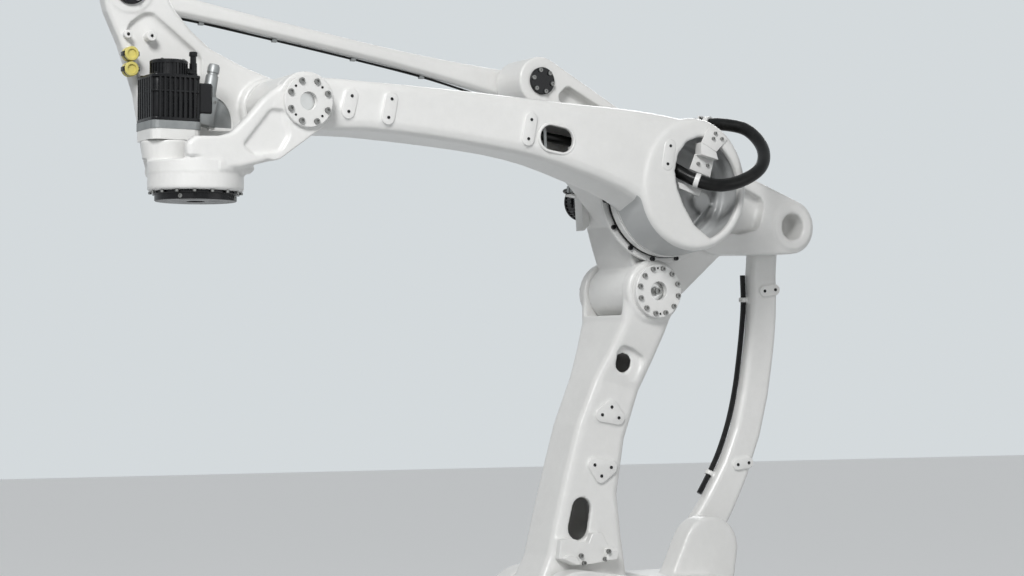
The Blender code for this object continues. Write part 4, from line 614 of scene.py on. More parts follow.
class Growth:
    """A geometry node tree in the making, which stands a shape on every point of a pattern."""

    def __init__(self, name, sizes):
        self.tree = bpy.data.node_groups.new(name, "GeometryNodeTree")
        kinds = {"Points": "Geometry", **dict.fromkeys(sizes, "Float"), "Finish": "Material"}
        for label, kind in kinds.items():
            self.tree.interface.new_socket(label, in_out="INPUT", socket_type="NodeSocket" + kind)
        self.tree.interface.new_socket("Grown", in_out="OUTPUT", socket_type="NodeSocketGeometry")
        self.given = self.add("NodeGroupInput").outputs

    def add(self, kind, feeds=None, **settings):
        """A node with its settings, then the values or sockets that feed it."""
        made = self.tree.nodes.new(kind)
        for key, value in settings.items():
            setattr(made, key, value)
        for key, feed in (feeds or {}).items():
            if isinstance(feed, bpy.types.NodeSocket):
                self.tree.links.new(feed, made.inputs[key])
            else:
                made.inputs[key].default_value = feed
        return made

    def turned(self, label, axis, pivot="AUTO", before=None):
        """A turn of an axis to the direction that each point keeps under a label."""
        kept = self.add("GeometryNodeInputNamedAttribute", {"Name": label}, data_type="FLOAT_VECTOR")
        feeds = {"Vector": kept.outputs["Attribute"]}
        if before is not None:
            feeds["Rotation"] = before
        made = self.add("FunctionNodeAlignRotationToVector", feeds, axis=axis, pivot_axis=pivot)
        return made.outputs["Rotation"]

    def stood(self, shape, turn):
        """The finished tree: the shape on every point, made real and given its finish."""
        feeds = {"Points": self.given["Points"], "Instance": shape, "Rotation": turn}
        spread = self.add("GeometryNodeInstanceOnPoints", feeds)
        real = self.add("GeometryNodeRealizeInstances", {"Geometry": spread.outputs["Instances"]})
        feeds = {"Geometry": real.outputs["Geometry"], "Material": self.given["Finish"]}
        coat = self.add("GeometryNodeSetMaterial", feeds)
        self.add("NodeGroupOutput", {"Grown": coat.outputs["Geometry"]})
        return self.tree


def screw_tree():
    """A turned screw head with its socket, standing along each point's facing."""
    growth = Growth("socket_screws", ("Head radius", "Head height", "Socket radius"))
    radius, height = growth.given["Head radius"], growth.given["Head height"]
    bar = growth.add("GeometryNodeMeshCylinder", {"Vertices": SCREW_SIDES, "Radius": radius, "Depth": height})
    feeds = {"Mesh": bar.outputs["Mesh"], "Selection": bar.outputs["Top"], "Offset Scale": 0.0}
    rim = growth.add("GeometryNodeExtrudeMesh", feeds, mode="FACES")
    share = growth.add("ShaderNodeMath", {0: growth.given["Socket radius"], 1: radius}, operation="DIVIDE")
    feeds = {"Geometry": rim.outputs["Mesh"], "Selection": rim.outputs["Top"], "Scale": share.outputs[0]}
    narrow = growth.add("GeometryNodeScaleElements", feeds, domain="FACE")
    deep = growth.add("ShaderNodeMath", {0: height, 1: -SOCKET_DEPTH_SHARE}, operation="MULTIPLY")
    feeds = {"Mesh": narrow.outputs["Geometry"], "Selection": rim.outputs["Top"],
             "Offset Scale": deep.outputs[0]}
    socket = growth.add("GeometryNodeExtrudeMesh", feeds, mode="FACES")
    half_up = growth.add("ShaderNodeMath", {0: height, 1: 0.5}, operation="MULTIPLY")
    lift = growth.add("ShaderNodeCombineXYZ", {"Z": half_up.outputs[0]})
    feeds = {"Geometry": socket.outputs["Mesh"], "Translation": lift.outputs[0]}
    seat = growth.add("GeometryNodeTransform", feeds)
    return growth.stood(seat.outputs["Geometry"], growth.turned("facing", "Z"))


socket_screws = screw_tree()


def grown(name, tree, places, facings, sizes, finish, along=UP):
    """What a node tree grows on points, as a mesh. Sizes go to the tree's named inputs."""
    points = bpy.data.meshes.new(name + "_points")
    points.from_pydata([tuple(place) for place in places], [], [])
    for label, vectors in (("facing", facings), ("along", [along] * len(places))):
        attribute = points.attributes.new(label, "FLOAT_VECTOR", "POINT")
        for item, vector in zip(attribute.data, vectors):
            item.vector = vector
    carrier = bpy.data.objects.new(name + "_points", points)
    bpy.context.scene.collection.objects.link(carrier)
    modifier = carrier.modifiers.new("grow", "NODES")
    modifier.node_group = tree
    settings = dict(sizes, Finish=finishes[finish])
    for item in tree.interface.items_tree:
        if item.item_type == "SOCKET" and item.name in settings:
            modifier[item.identifier] = settings[item.name]
    return finished_mesh(carrier)


def screws(name, body, places, facing, radius, height, finish="screw_steel"):
    """Screw heads that stand on places, all facing one way or each its own."""
    facings = facing if isinstance(facing, list) else [facing] * len(places)
    sizes = {"Head radius": radius, "Head height": height, "Socket radius": radius * SOCKET_WIDTH_SHARE}
    new_piece(name, grown(name, socket_screws, places, facings, sizes, finish), body, finish, sharp=None)


def circle_of(place, radius, count, start, y):
    """Points of a bolt circle in the side view, at one depth. The start is in degrees."""
    spots = []
    for i in range(count):
        angle = math.radians(start + 360 * i / count)
        spots.append(in_space(place + radius * Vector((math.cos(angle), math.sin(angle))), y))
    return spots


# Motors
# Four servo motors with black aluminium housings. The extruded housing has cooling ribs down all four
# sides, a cast end cap with the encoder behind it, and screws in its corners.
RIB_DEPTH = 0.008
RIB_WIDTH = 0.006
RIB_MARGIN = 0.024
END_PLATE = 0.011
MOTOR_CORNER = 0.020
CORE_CORNER = 0.016
SEAM_AT = 0.62
SEAM_WIDTH = 0.006
MOTOR_SCREW_INSET = 0.017
CAP_LIP = 0.012
CAP_RIB_GROOVE = 0.004
CAP_DISH = 0.62
CAP_SCREW_CIRCLE = 0.84


def rib_tree():
    """A rib on each point, its back against the motor."""
    growth = Growth("motor_ribs", ("Rib width", "Rib depth", "Rib length"))
    given = growth.given
    feeds = {"X": given["Rib depth"], "Y": given["Rib width"], "Z": given["Rib length"]}
    size = growth.add("ShaderNodeCombineXYZ", feeds)
    bar = growth.add("GeometryNodeMeshCube", {"Size": size.outputs[0]})
    turn = growth.turned("facing", "X", "Z", growth.turned("along", "Z"))
    return growth.stood(bar.outputs["Mesh"], turn)


motor_ribs = rib_tree()


def lie(node_name, axis, sign):
    """How a motor's piece lies: its base, the ways across, up and along it, its length and its box."""
    low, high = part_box(node_name)
    along = sign * AXES[axis]
    length = high[axis] - low[axis]
    base = (low + high) / 2 - along * length / 2
    return base, AXES[(axis + 1) % 3], AXES[(axis + 2) % 3], along, length, high - low


def ribbed_motor(node_name, axis, sign, ribs=8, share=1.0):
    """A motor housing: a ribbed middle between two end plates, with corner screws on the rear one."""
    base, across, upward, along, length, box = lie(node_name, axis, sign)
    half = share * min(box.dot(across), box.dot(upward)) / 2
    basis = (base, across, upward, along)
    seam = length * SEAM_AT
    core = [square(half - RIB_DEPTH, CORE_CORNER)]
    shells = [plate([square(half, MOTOR_CORNER)], 0.0, END_PLATE, 0.002, basis),
              plate(core, END_PLATE / 2, length - END_PLATE / 2, 0.001, basis),
              plate([square(half, MOTOR_CORNER)], length - END_PLATE, length, 0.003, basis),
              plate([square(half - 0.002, MOTOR_CORNER)], seam, seam + SEAM_WIDTH, 0.001, basis)]
    places, facings = [], []
    for side, step in ((across, upward), (upward, across), (-across, upward), (-upward, across)):
        for i in range(ribs):
            offset = (i / (ribs - 1) - 0.5) * 2 * (half - RIB_MARGIN)
            places.append(base + along * length / 2 + side * (half - RIB_DEPTH / 2) + step * offset)
            facings.append(side)
    sizes = {"Rib width": RIB_WIDTH, "Rib depth": RIB_DEPTH, "Rib length": length - 1.6 * END_PLATE}
    shells.append(grown(node_name + "_ribs", motor_ribs, places, facings, sizes, slot_of[node_name], along))
    body = body_of_node[node_name]
    new_piece(node_name + "_housing", joined(shells), body, slot_of[node_name], stands_for=node_name)
    corners = [base + along * length + (a * across + b * upward) * (half - MOTOR_SCREW_INSET)
               for a in (1, -1) for b in (1, -1)]
    screws(node_name + "_screws", body, corners, along, 0.007, 0.006, "black_satin")


def ribbed_cap(node_name, axis, sign, ribs=30):
    """The round encoder cover behind a motor, with short ribs round its edge."""
    base, across, upward, along, length, box = lie(node_name, axis, sign)
    radius = box.dot(across) / 2
    lip = length - CAP_LIP
    groove = radius - CAP_RIB_GROOVE
    skirt = lathe([(ON_AXIS, 0.0), (groove, 0.0), (groove, lip), (radius, lip), (radius, length - 0.004),
                   (radius - 0.004, length), (radius * CAP_DISH, length), (radius * 0.60, length - 0.002),
                   (ON_AXIS, length - 0.002)], base, Matrix((across, upward, along)).transposed())

    def out(angle):
        return across * math.cos(angle) + upward * math.sin(angle)

    facings = [out(2 * math.pi * i / ribs) for i in range(ribs)]
    places = [base + along * lip / 2 + facing * (radius - 0.003) for facing in facings]
    sizes = {"Rib width": 0.0035, "Rib depth": 0.005, "Rib length": lip - 0.001}
    ring = grown(node_name + "_ribs", motor_ribs, places, facings, sizes, slot_of[node_name], along)
    body = body_of_node[node_name]
    new_piece(node_name + "_cover", joined([skirt, ring]), body, slot_of[node_name], stands_for=node_name)
    circle = radius * CAP_SCREW_CIRCLE
    spots = [base + along * length + out(math.radians(45 + 90 * i)) * circle for i in range(4)]
    screws(node_name + "_screws", body, spots, along, 0.0045, 0.003)


def cover_way(node_name, cap_name):
    """The axis that a motor lies along and the end that its cover is on."""
    offset = sum(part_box(cap_name), Vector()) - sum(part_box(node_name), Vector())
    axis = max(range(3), key=lambda i: abs(offset[i]))
    return axis, (1 if offset[axis] > 0 else -1)


for motor_name, width_share in (("swivel_motor", 1.0), ("shoulder_motor", 1.0), ("tool_motor", 1.0),
                                ("elbow_motor", 0.72)):
    motor_axis, motor_sign = cover_way(motor_name, motor_name + "_cap")
    ribbed_motor(motor_name, motor_axis, motor_sign, share=width_share)
    ribbed_cap(motor_name + "_cap", motor_axis, motor_sign)


# Lower arm
# A ribbed iron casting that forks round the elbow frame. Its pads and rims stand a little proud of the
# cast face and are milled flat, with tapped holes for cable clips. The knee pin is held by two flanges.
UP_THE_ARM = (KNEE - SHOULDER).normalized()
AHEAD_OF_ARM = Vector((UP_THE_ARM.y, -UP_THE_ARM.x))
LOWER_ARM_LENGTH = (KNEE - SHOULDER).length
PAD_PROUD = 0.0014
PAD_EDGE = 0.0035
PAD_ROOT = 0.014
TAPPED_HOLE = 0.0062
HOLE_HEIGHT = 0.0014


def on_lower_arm(share, across):
    """A place in the side view, a share of the way up the lower arm and a distance ahead of its line."""
    return SHOULDER + UP_THE_ARM * share * LOWER_ARM_LENGTH + AHEAD_OF_ARM * across


def hole_shade_discs(name, body, places, facing=NEAR, radius=TAPPED_HOLE):
    """Black socket heads at the mouths of tapped holes: painted shade standing for the dark holes."""
    screws(name, body, places, facing, radius, HOLE_HEIGHT, "black_satin")


def pad(name, node_name, circles, holes, proud=PAD_PROUD, inner=None, hole_radius=TAPPED_HOLE):
    """A milled pad or rim round circles of a casting's near face, with tapped holes."""
    middle = sum((Vector(place) for place, radius in circles), Vector((0, 0))) / len(circles)
    spot = middle if inner is None else Vector(circles[0][0]) + Vector((0, circles[0][1] - 0.002))
    face = near_face(node_name, spot)
    body = body_of_node[node_name]
    outlines = [around(circles)]
    if inner:
        outlines.append(around(inner))
    new_piece(name, plate(outlines, face - PAD_ROOT, face + proud, PAD_EDGE), body, "white_paint")
    if holes:
        mouths = [in_space(hole, face + proud) for hole in holes]
        hole_shade_discs(name + "_holes", body, mouths, radius=hole_radius)


casting("lower_arm", grain=MEDIUM_GRAIN, passes=FEWER_PASSES)
PORT_WALL = 0.012
port_ends = [(on_lower_arm(0.279, 0.048), 0.042), (on_lower_arm(0.336, 0.052), 0.040)]
pad("lower_arm_port_rim", "lower_arm", [(end, radius + PORT_WALL) for end, radius in port_ends], [],
    proud=0.010, inner=port_ends)
THREE_HOLE_PADS = (((0.643, 0.033), (0.613, 0.064), (0.619, -0.006)),
                   ((0.467, 0.047), (0.474, -0.022), (0.442, 0.009)))
THREE_HOLE_PAD_RADIUS = 0.0265
for i, holes in enumerate(THREE_HOLE_PADS):
    corners = [on_lower_arm(*hole) for hole in holes]
    circles = [(corner, THREE_HOLE_PAD_RADIUS) for corner in corners]
    pad(f"lower_arm_pad_{i + 1}", "lower_arm", circles, corners)

KNEE_BOLT_CIRCLE = 0.082
for side, facing in (("near", NEAR), ("far", FAR)):
    flange_name = "knee_flange_" + side
    turned_node(flange_name, bore=0.034)
    low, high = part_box(flange_name)
    face = high.y if side == "near" else low.y
    bolts = circle_of(KNEE, KNEE_BOLT_CIRCLE, 12, 11.3, face)
    screws(flange_name + "_screws", "lower_arm", bolts, facing, radius=0.0092, height=0.008)
    jacks = circle_of(KNEE, KNEE_BOLT_CIRCLE, 2, 86.3, face)
    hole_shade_discs(flange_name + "_jacking_holes", "lower_arm", jacks, facing, radius=0.004)
pin_ends = [in_space(KNEE, corner.y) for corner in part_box("knee_pin")]
screws("knee_pin_screws", "lower_arm", pin_ends, [FAR, NEAR], radius=0.013, height=0.010)

STOP_BOLTS = ((0.203, 0.038), (0.1845, 0.019), (0.2354, -0.059), (0.212, -0.062))
stop_places = [on_lower_arm(*bolt) for bolt in STOP_BOLTS]
stop_seats = [in_space(place, near_face("stop_bracket", place)) for place in stop_places]
screws("stop_bracket_bolts", "lower_arm", stop_seats, NEAR, radius=0.0085, height=0.009)
turned_node("shoulder_cover", edge=0.006)
cover_bolts = circle_of(SHOULDER, 0.090, 6, 30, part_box("shoulder_cover")[1].y - 0.003)
screws("shoulder_cover_screws", "swivel", cover_bolts, NEAR, radius=0.0065, height=0.006)


# Rear link
# A bowed bar of cast iron with a bushed eye at each end. It runs behind the lower arm and keeps the
# elbow frame level, and a thin hose is clipped along its front edge.
casting("rear_link")
LINK_PADS = ((-0.3301, 0.9569), (-0.2051, 0.3028))
for i, from_foot in enumerate(LINK_PADS):
    middle = FOOT_PIN + Vector(from_foot)
    ends = [middle + Vector((-0.0245, 0.003)), middle + Vector((0.0245, -0.003))]
    pad(f"rear_link_pad_{i + 1}", "rear_link", [(end, 0.0215) for end in ends], ends)


# Elbow frame
# A large hollow casting: a barrel for the elbow's gearbox, a neck down to the knee pin, a lever ahead
# for the upper rod and an arm behind for the rear link.
REDUCER_FLANGE_RADIUS = 0.2535
REDUCER_FLANGE_BORE = 0.200
REDUCER_FLANGE_HEIGHT = 0.017
REDUCER_BOLT_CIRCLE = 0.243
SEAL_RADIUS = 0.2365
SEAL_BORE = 0.205
casting("elbow_frame", grain=MEDIUM_GRAIN, passes=FEWER_PASSES)
case_low, case_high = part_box("elbow_reducer_case")
flange_face = case_low.y + REDUCER_FLANGE_HEIGHT
flange_ring = ring_profile(REDUCER_FLANGE_BORE, REDUCER_FLANGE_RADIUS, case_low.y + 0.001, flange_face)
new_piece("elbow_reducer_flange", lathe(flange_ring, in_space(ELBOW, 0.0), ACROSS), "elbow_frame",
          "white_paint")
screws("elbow_reducer_screws", "elbow_frame", circle_of(ELBOW, REDUCER_BOLT_CIRCLE, 15, -56.4, flange_face),
       NEAR, radius=0.0085, height=0.009, finish="black_satin")
turned_node("elbow_reducer_output", finish="white_paint")
seal_ring = ring_profile(SEAL_BORE, SEAL_RADIUS, case_high.y - 0.008, case_high.y + 0.0005, edge=0.001)
new_piece("elbow_seal", lathe(seal_ring, in_space(ELBOW, 0.0), ACROSS), "elbow_frame", "black_satin")


# Motor cable clamps
# A folded sheet bracket on the front of the neck, with small grey clamps for the elbow motor's two cables.
# Sheet corners and cable points are given from where the neck's front face is met.
BRACKET_Y = -0.285
BRACKET_WIDTH = 0.050
BRACKET_SHEET = ((-0.004, -0.110), (0.016, -0.130), (0.022, -0.130), (0.030, -0.010), (0.070, -0.004),
                 (0.070, 0.002), (-0.004, 0.002))
CABLE_REACHES = (0.020, 0.052)
CABLE_RISE = 0.022
CABLE_RUN = ((0.0, 0.034, 0.0), (0.0, -0.041, 0.0), (-0.010, -0.076, -0.004), (-0.050, -0.101, -0.010))
neck_height = Vector((OUTSIDE, BRACKET_Y, ELBOW.y - 0.060))
bracket_x = first_met("elbow_frame", neck_height, -FORWARD).x
bracket_corners = [Vector((bracket_x, ELBOW.y)) + Vector(corner) for corner in BRACKET_SHEET]
bracket_sheet = plate([bracket_corners], BRACKET_Y - BRACKET_WIDTH / 2, BRACKET_Y + BRACKET_WIDTH / 2, 0.002)
new_piece("motor_cable_bracket", bracket_sheet, "elbow_frame", "white_paint")
clamps = []
cable_runs = []
for reach in CABLE_REACHES:
    clamp = Vector((bracket_x + reach, BRACKET_Y, ELBOW.y + CABLE_RISE))
    cable_runs.append([clamp + Vector(spot) for spot in CABLE_RUN])
    for depth in (-0.012, 0.012):
        clamps.append(plate([square(0.013, 0.004), square(0.006, 0.003)], depth - 0.009, depth + 0.009, 0.002,
                            (clamp, FORWARD, UP, NEAR)))
new_piece("motor_cable_clamps", joined(clamps), "elbow_frame", "grey_metal")
turned_node("lever_pin_cap")
cap_bolts = circle_of(LEVER_PIN, 0.0385, 6, 14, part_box("lever_pin_cap")[1].y)
screws("lever_pin_cap_screws", "elbow_frame", cap_bolts, NEAR, radius=0.0075, height=0.006)


# Hoses
# Smooth black rubber hoses for the gripper's air and signals. The thick one loops out round the elbow
# with slack for its swing, the next runs inside the arm and the thin one along the rear link.
HOSE_SIDES = 28


def smooth_line(route, steps=8):
    """Points read from a smooth curve through a route's own points."""
    ends = [route[0] * 2 - route[1], *route, route[-1] * 2 - route[-2]]
    spots = []
    for a, b, c, d in zip(ends, ends[1:], ends[2:], ends[3:]):
        for step in range(steps):
            t = step / steps
            spots.append(0.5 * (2 * b + (c - a) * t + (2 * a - 5 * b + 4 * c - d) * t * t
                                + (3 * b - a - 3 * c + d) * t ** 3))
    spots.append(route[-1])
    return spots


def tube(spots, radius):
    """A round tube along points, closed at both ends."""
    form = bmesh.new()
    loops = []
    ahead = (spots[1] - spots[0]).normalized()
    across = ahead.orthogonal().normalized()
    for i, spot in enumerate(spots):
        ahead = (spots[min(i + 1, len(spots) - 1)] - spots[max(i - 1, 0)]).normalized()
        across = (across - ahead * across.dot(ahead)).normalized()
        other = ahead.cross(across)
        loop = []
        for k in range(HOSE_SIDES):
            angle = 2 * math.pi * k / HOSE_SIDES
            loop.append(form.verts.new(spot + radius * (across * math.cos(angle) + other * math.sin(angle))))
        loops.append(loop)
    for first, second in zip(loops, loops[1:]):
        for k in range(HOSE_SIDES):
            j = (k + 1) % HOSE_SIDES
            form.faces.new((first[k], first[j], second[j], second[k]))
    form.faces.new(loops[0][::-1])
    form.faces.new(loops[-1])
    return mesh_of(form)


def from_elbow(route):
    """A route given from the elbow's axis, as points in space."""
    return [in_space(ELBOW, 0.0) + Vector(spot) for spot in route]


ELBOW_HOSE_ROUTE = ((-0.215, -0.100, 0.2610), (-0.250, -0.030, 0.2615), (-0.305, 0.060, 0.236),
                    (-0.312, 0.150, 0.165), (-0.262, 0.218, 0.090), (-0.170, 0.244, 0.036),
                    (-0.075, 0.234, 0.012), (0.000, 0.196, 0.028), (0.048, 0.140, 0.066),
                    (0.090, 0.100, 0.105))
ELBOW_HOSE_RADIUS = 0.023
ARM_HOSE_ROUTE = ((0.150, 0.090, 0.095), (0.300, 0.090, 0.130), (0.450, 0.095, 0.150), (0.600, 0.095, 0.172),
                  (0.800, 0.085, 0.200), (1.000, 0.060, 0.222), (1.160, 0.030, 0.236))
ARM_HOSE_RADIUS = 0.016
MOTOR_CABLE_RADIUS = 0.0055
elbow_route = from_elbow(ELBOW_HOSE_ROUTE)
elbow_hose = new_piece("elbow_hose_loop", tube(smooth_line(elbow_route), ELBOW_HOSE_RADIUS), None,
                       "black_rubber", stands_for="elbow_hose")
new_piece("arm_hose_run", tube(smooth_line(from_elbow(ARM_HOSE_ROUTE)), ARM_HOSE_RADIUS), "upper_arm",
          "black_rubber", stands_for="arm_hose")
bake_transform(elbow_hose)
motor_cables = [tube(smooth_line(run), MOTOR_CABLE_RADIUS) for run in cable_runs]
new_piece("motor_cables", joined(motor_cables), "elbow_frame", "black_rubber")

NUT_BORE = ELBOW_HOSE_RADIUS + 0.0005
NUT_RADIUS = 0.0295
GLAND_BOLT_OFFSET = 0.026
gland_line = (elbow_route[1] - elbow_route[0]).normalized()
gland_across = gland_line.cross(UP).normalized()
gland_up = gland_across.cross(gland_line)
gland_basis = (elbow_route[0], gland_across, gland_up, gland_line)
gland_plate = plate([square(0.034, 0.006)], 0.004, 0.009, 0.0015, gland_basis)
new_piece("hose_gland_plate", gland_plate, "elbow_frame", "white_paint")
gland_block = plate([square(0.027, 0.005)], -0.046, 0.0035, 0.003, gland_basis)
new_piece("hose_gland_block", gland_block, "elbow_frame", "grey_metal")
gland_nut = lathe([(NUT_BORE, 0.008), (NUT_RADIUS, 0.008), (NUT_RADIUS, 0.019), (NUT_RADIUS - 0.003, 0.023),
                   (NUT_BORE, 0.024), (NUT_BORE, 0.008)], elbow_route[0],
                  Matrix((gland_across, gland_up, gland_line)).transposed(), sides=32)
new_piece("hose_gland_nut", gland_nut, "elbow_frame", "black_satin")
gland_corners = [elbow_route[0] + gland_line * 0.009 + gland_across * a + gland_up * b
                 for a in (-GLAND_BOLT_OFFSET, GLAND_BOLT_OFFSET)
                 for b in (-GLAND_BOLT_OFFSET, GLAND_BOLT_OFFSET)]
screws("hose_gland_screws", "elbow_frame", gland_corners, gland_line, radius=0.0045, height=0.004)


# Upper arm
# A long hollow iron casting with the round elbow housing at its root. Its near face has an oblong
# window on the hose inside, four milled pads and the wide mouth that the hose goes in by.
UPPER_ARM_REACH = WRIST.x - ELBOW.x
UPPER_ARM_SLOPE = (WRIST.y - ELBOW.y) / UPPER_ARM_REACH


def on_upper_arm(share, height):
    """A place in the side view, a share of the way out along the upper arm and a height above its line."""
    ahead = share * UPPER_ARM_REACH
    return ELBOW + Vector((ahead, ahead * UPPER_ARM_SLOPE + height))


HOUSING_SHADE_RADIUS = 0.236
PAD_HALF_SLANT = 0.006
UPPER_ARM_PADS = ((0.0769, 0.097, 0.032), (0.4446, 0.078, 0.033), (0.7907, 0.0455, 0.031),
                  (0.8838, 0.033, 0.026))
WINDOW_RADIUS = 0.0425
WINDOW_RIM_RADIUS = 0.052
RIM_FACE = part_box("upper_arm")[1].y
housing_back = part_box("elbow_reducer_output")[1].y
# Inside the elbow housing's drum the white paint is painted grey as shade.
housing_shade_drum = (ELBOW, HOUSING_SHADE_RADIUS, housing_back + 0.012, RIM_FACE - 0.022)
finishes["housing_shade_paint"] = make_white_paint("housing_shade_paint", housing_shade_drum)
casting("upper_arm", grain=COARSE_GRAIN, finish="housing_shade_paint")
for i, (share, height, half) in enumerate(UPPER_ARM_PADS):
    middle = on_upper_arm(share, height)
    ends = [middle + Vector((-PAD_HALF_SLANT, half)), middle + Vector((PAD_HALF_SLANT, -half))]
    pad(f"upper_arm_pad_{i + 1}", "upper_arm", [(end, 0.0245) for end in ends], ends, hole_radius=0.0055)
window_ends = [on_upper_arm(0.3575, 0.067), on_upper_arm(0.388, 0.067)]
pad("upper_arm_window_rim", "upper_arm", [(end, WINDOW_RIM_RADIUS) for end in window_ends], [], proud=0.003,
    inner=[(end, WINDOW_RADIUS) for end in window_ends])


# Hose bracket
# Two folded sheet plates, welded to a web, hold the hose where it enters the housing. A strap goes over
# the hose, and every plate is screwed down.
SHEET = 0.005
UPPER_SHEET = ((-0.0465, 0.2165), (-0.1305, 0.181), (-0.083, 0.1335), (-0.020, 0.165))
WEB_SHEET = ((-0.020, 0.165), (-0.083, 0.1335), (-0.092, 0.106), (-0.020, 0.122))
LOWER_SHEET = ((-0.016, 0.126), (-0.096, 0.106), (-0.080, 0.046), (0.006, 0.072))
LOW_TONGUE = ((0.055, 0.024), (0.049, 0.002), (-0.034, -0.024), (-0.044, -0.002))
UPPER_SHEET_BOLTS = ((-0.078, 0.199), (-0.069, 0.180), (-0.105, 0.181))
LOWER_SHEET_BOLTS = ((-0.028, 0.092), (-0.068, 0.087))
STRAP_AT = 7


def from_elbow_side(spots):
    """Corners in the side view, given from the elbow's axis."""
    return [ELBOW + Vector(spot) for spot in spots]


inner_face = RIM_FACE - 0.036
bracket_sheets = [plate([from_elbow_side(corners)], low, high, 0.0012) for corners, low, high in (
    (UPPER_SHEET, RIM_FACE + 0.0004, RIM_FACE + SHEET),
    (WEB_SHEET, inner_face, RIM_FACE + SHEET - 0.001),
    (LOWER_SHEET, inner_face, inner_face + SHEET),
    (LOW_TONGUE, inner_face - 0.004, inner_face + 0.004))]
strap_line = (elbow_route[STRAP_AT + 1] - elbow_route[STRAP_AT - 1]).normalized()
strap_turn = strap_line.to_track_quat("Z", "Y").to_matrix()
strap = ring_profile(ELBOW_HOSE_RADIUS + 0.0004, ELBOW_HOSE_RADIUS + 0.0034, -0.009, 0.009, 0.001)
bracket_sheets.append(lathe(strap, elbow_route[STRAP_AT], strap_turn, sides=48))
new_piece("hose_bracket_sheets", joined(bracket_sheets), "upper_arm", "white_paint",
          stands_for="hose_bracket")
bracket_bolts = [in_space(place, RIM_FACE + SHEET) for place in from_elbow_side(UPPER_SHEET_BOLTS)]
bracket_bolts += [in_space(place, inner_face + SHEET) for place in from_elbow_side(LOWER_SHEET_BOLTS)]
screws("hose_bracket_screws", "upper_arm", bracket_bolts, NEAR, radius=0.0065, height=0.006)

window_strip = window_ends[1] + Vector((-0.004, 0.0))
strip_outline = around([(window_strip + Vector((0.0, 0.034)), 0.006),
                        (window_strip - Vector((0.004, 0.046)), 0.006)])
new_piece("arm_hose_strip", plate([strip_outline], 0.108, 0.112, 0.001), "upper_arm", "grey_metal")


# Upper rod
# A cast rod above the arm, flattened from side to side, with a bushed eye at each end. A thin cable
# runs under it in small clips.
ROD_DEPTHS = ((0.10, 0.052), (0.24, 0.038), (0.42, 0.034), (0.62, 0.034), (0.80, 0.036), (0.90, 0.042))
ROD_CABLE_RADIUS = 0.0042
casting("upper_rod")
rod_low, rod_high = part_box("upper_rod")
rod_y = (rod_low.y + rod_high.y) / 2 - 0.010
rod_line = WRIST_PIN - LEVER_PIN
rod_down = Vector((rod_line.y, -rod_line.x)).normalized()
cable_run = [in_space(LEVER_PIN + rod_line * share + rod_down * depth, rod_y) for share, depth in ROD_DEPTHS]
new_piece("rod_cable", tube(smooth_line(cable_run), ROD_CABLE_RADIUS), "upper_rod", "black_rubber")
clips = [plate([square(0.0075, 0.002)], -0.009, 0.009, 0.001, (spot, UP, NEAR, FORWARD))
         for spot in cable_run[1:-1]]
new_piece("rod_cable_clips", joined(clips), "upper_rod", "grey_metal")


# Wrist
# A casting that hangs between the arm and the rod and stays level. It carries the tool motor, its
# cable connectors and the gearbox of the tool flange.
HOUSING_RIM = 0.156
HOUSING_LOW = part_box("tool_reducer_ring")[1].z
RIM_LOW = HOUSING_LOW + 0.055
RIM_TOP = HOUSING_LOW + 0.097
SHELF_TOP = HOUSING_LOW + 0.107
PLATE_BACK = -0.165
PLATE_REACH = 0.100


def trimmed_shelf(spot):
    """Keep the shelf over the tool's gearbox inside the gearbox housing's rim and the plate's edge."""
    ahead = Vector((spot.x - TOOL_X, spot.y))
    if spot.z > SHELF_TOP or ahead.x < -0.02:
        return spot
    if spot.y > PLATE_BACK and ahead.length > HOUSING_RIM:
        ahead = ahead.normalized() * HOUSING_RIM
        return Vector((TOOL_X + ahead.x, ahead.y, spot.z))
    if spot.y <= PLATE_BACK:
        return Vector((min(spot.x, TOOL_X + PLATE_REACH), spot.y, spot.z))
    return spot


rim = lathe(disc_profile(HOUSING_RIM + 0.004, RIM_LOW, RIM_TOP, 0.008), (TOOL_X, 0.0, 0.0))
casting("wrist_frame", [rim], trim=trimmed_shelf)
turned_node("wrist_flange", bore=0.030, radius=0.085, finish="white_paint")
flange_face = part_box("wrist_flange")[1].y
screws("wrist_flange_screws", "wrist_frame", circle_of(WRIST, 0.070, 8, 22.5, flange_face), NEAR,
       radius=0.0098, height=0.008)
hole_shade_discs("wrist_flange_jacking_holes", "wrist_frame", circle_of(WRIST, 0.066, 4, 45, flange_face),
             radius=0.0042)
turned_node("wrist_link_cap")
link_cap_bolts = circle_of(WRIST_PIN, 0.043, 6, 0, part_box("wrist_link_cap")[1].y)
screws("wrist_link_cap_screws", "wrist_frame", link_cap_bolts, NEAR, radius=0.0085, height=0.006)
turned_node("wrist_cap_far", edge=0.003)


# Tool flange
# The gearbox ring is held by small screws from below, and the black steel flange under it turns.
REDUCER_RING_RADIUS = 0.137
REDUCER_SCREW_CIRCLE = 0.1455
turned_node("tool_reducer_ring", bore=0.060, upright=True, radius=REDUCER_RING_RADIUS)
turned_node("tool_flange", bore=0.030, upright=True)
ring_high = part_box("tool_reducer_ring")[1]
flange_low, flange_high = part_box("tool_flange")


def circle_under(height, radius, count, start):
    """Places round the tool's axis at one height, and the way each looks out."""
    outwards = [Vector((math.cos(a), math.sin(a), 0.0)) for a in
                (math.radians(start + 360 * i / count) for i in range(count))]
    return [Vector((TOOL_X, 0.0, height)) + radius * out for out in outwards], outwards


places, outwards = circle_under(ring_high.z, REDUCER_SCREW_CIRCLE, 16, 0)
screws("tool_reducer_screws", "wrist_frame", places, DOWN, radius=0.0058, height=0.008)
flange_middle = (flange_low.z + flange_high.z) / 2 - 0.004
places, outwards = circle_under(flange_middle, (flange_high.x - flange_low.x) / 2, 4, 47.5)
screws("tool_flange_screws", "tool", places, outwards, radius=0.007, height=0.003)


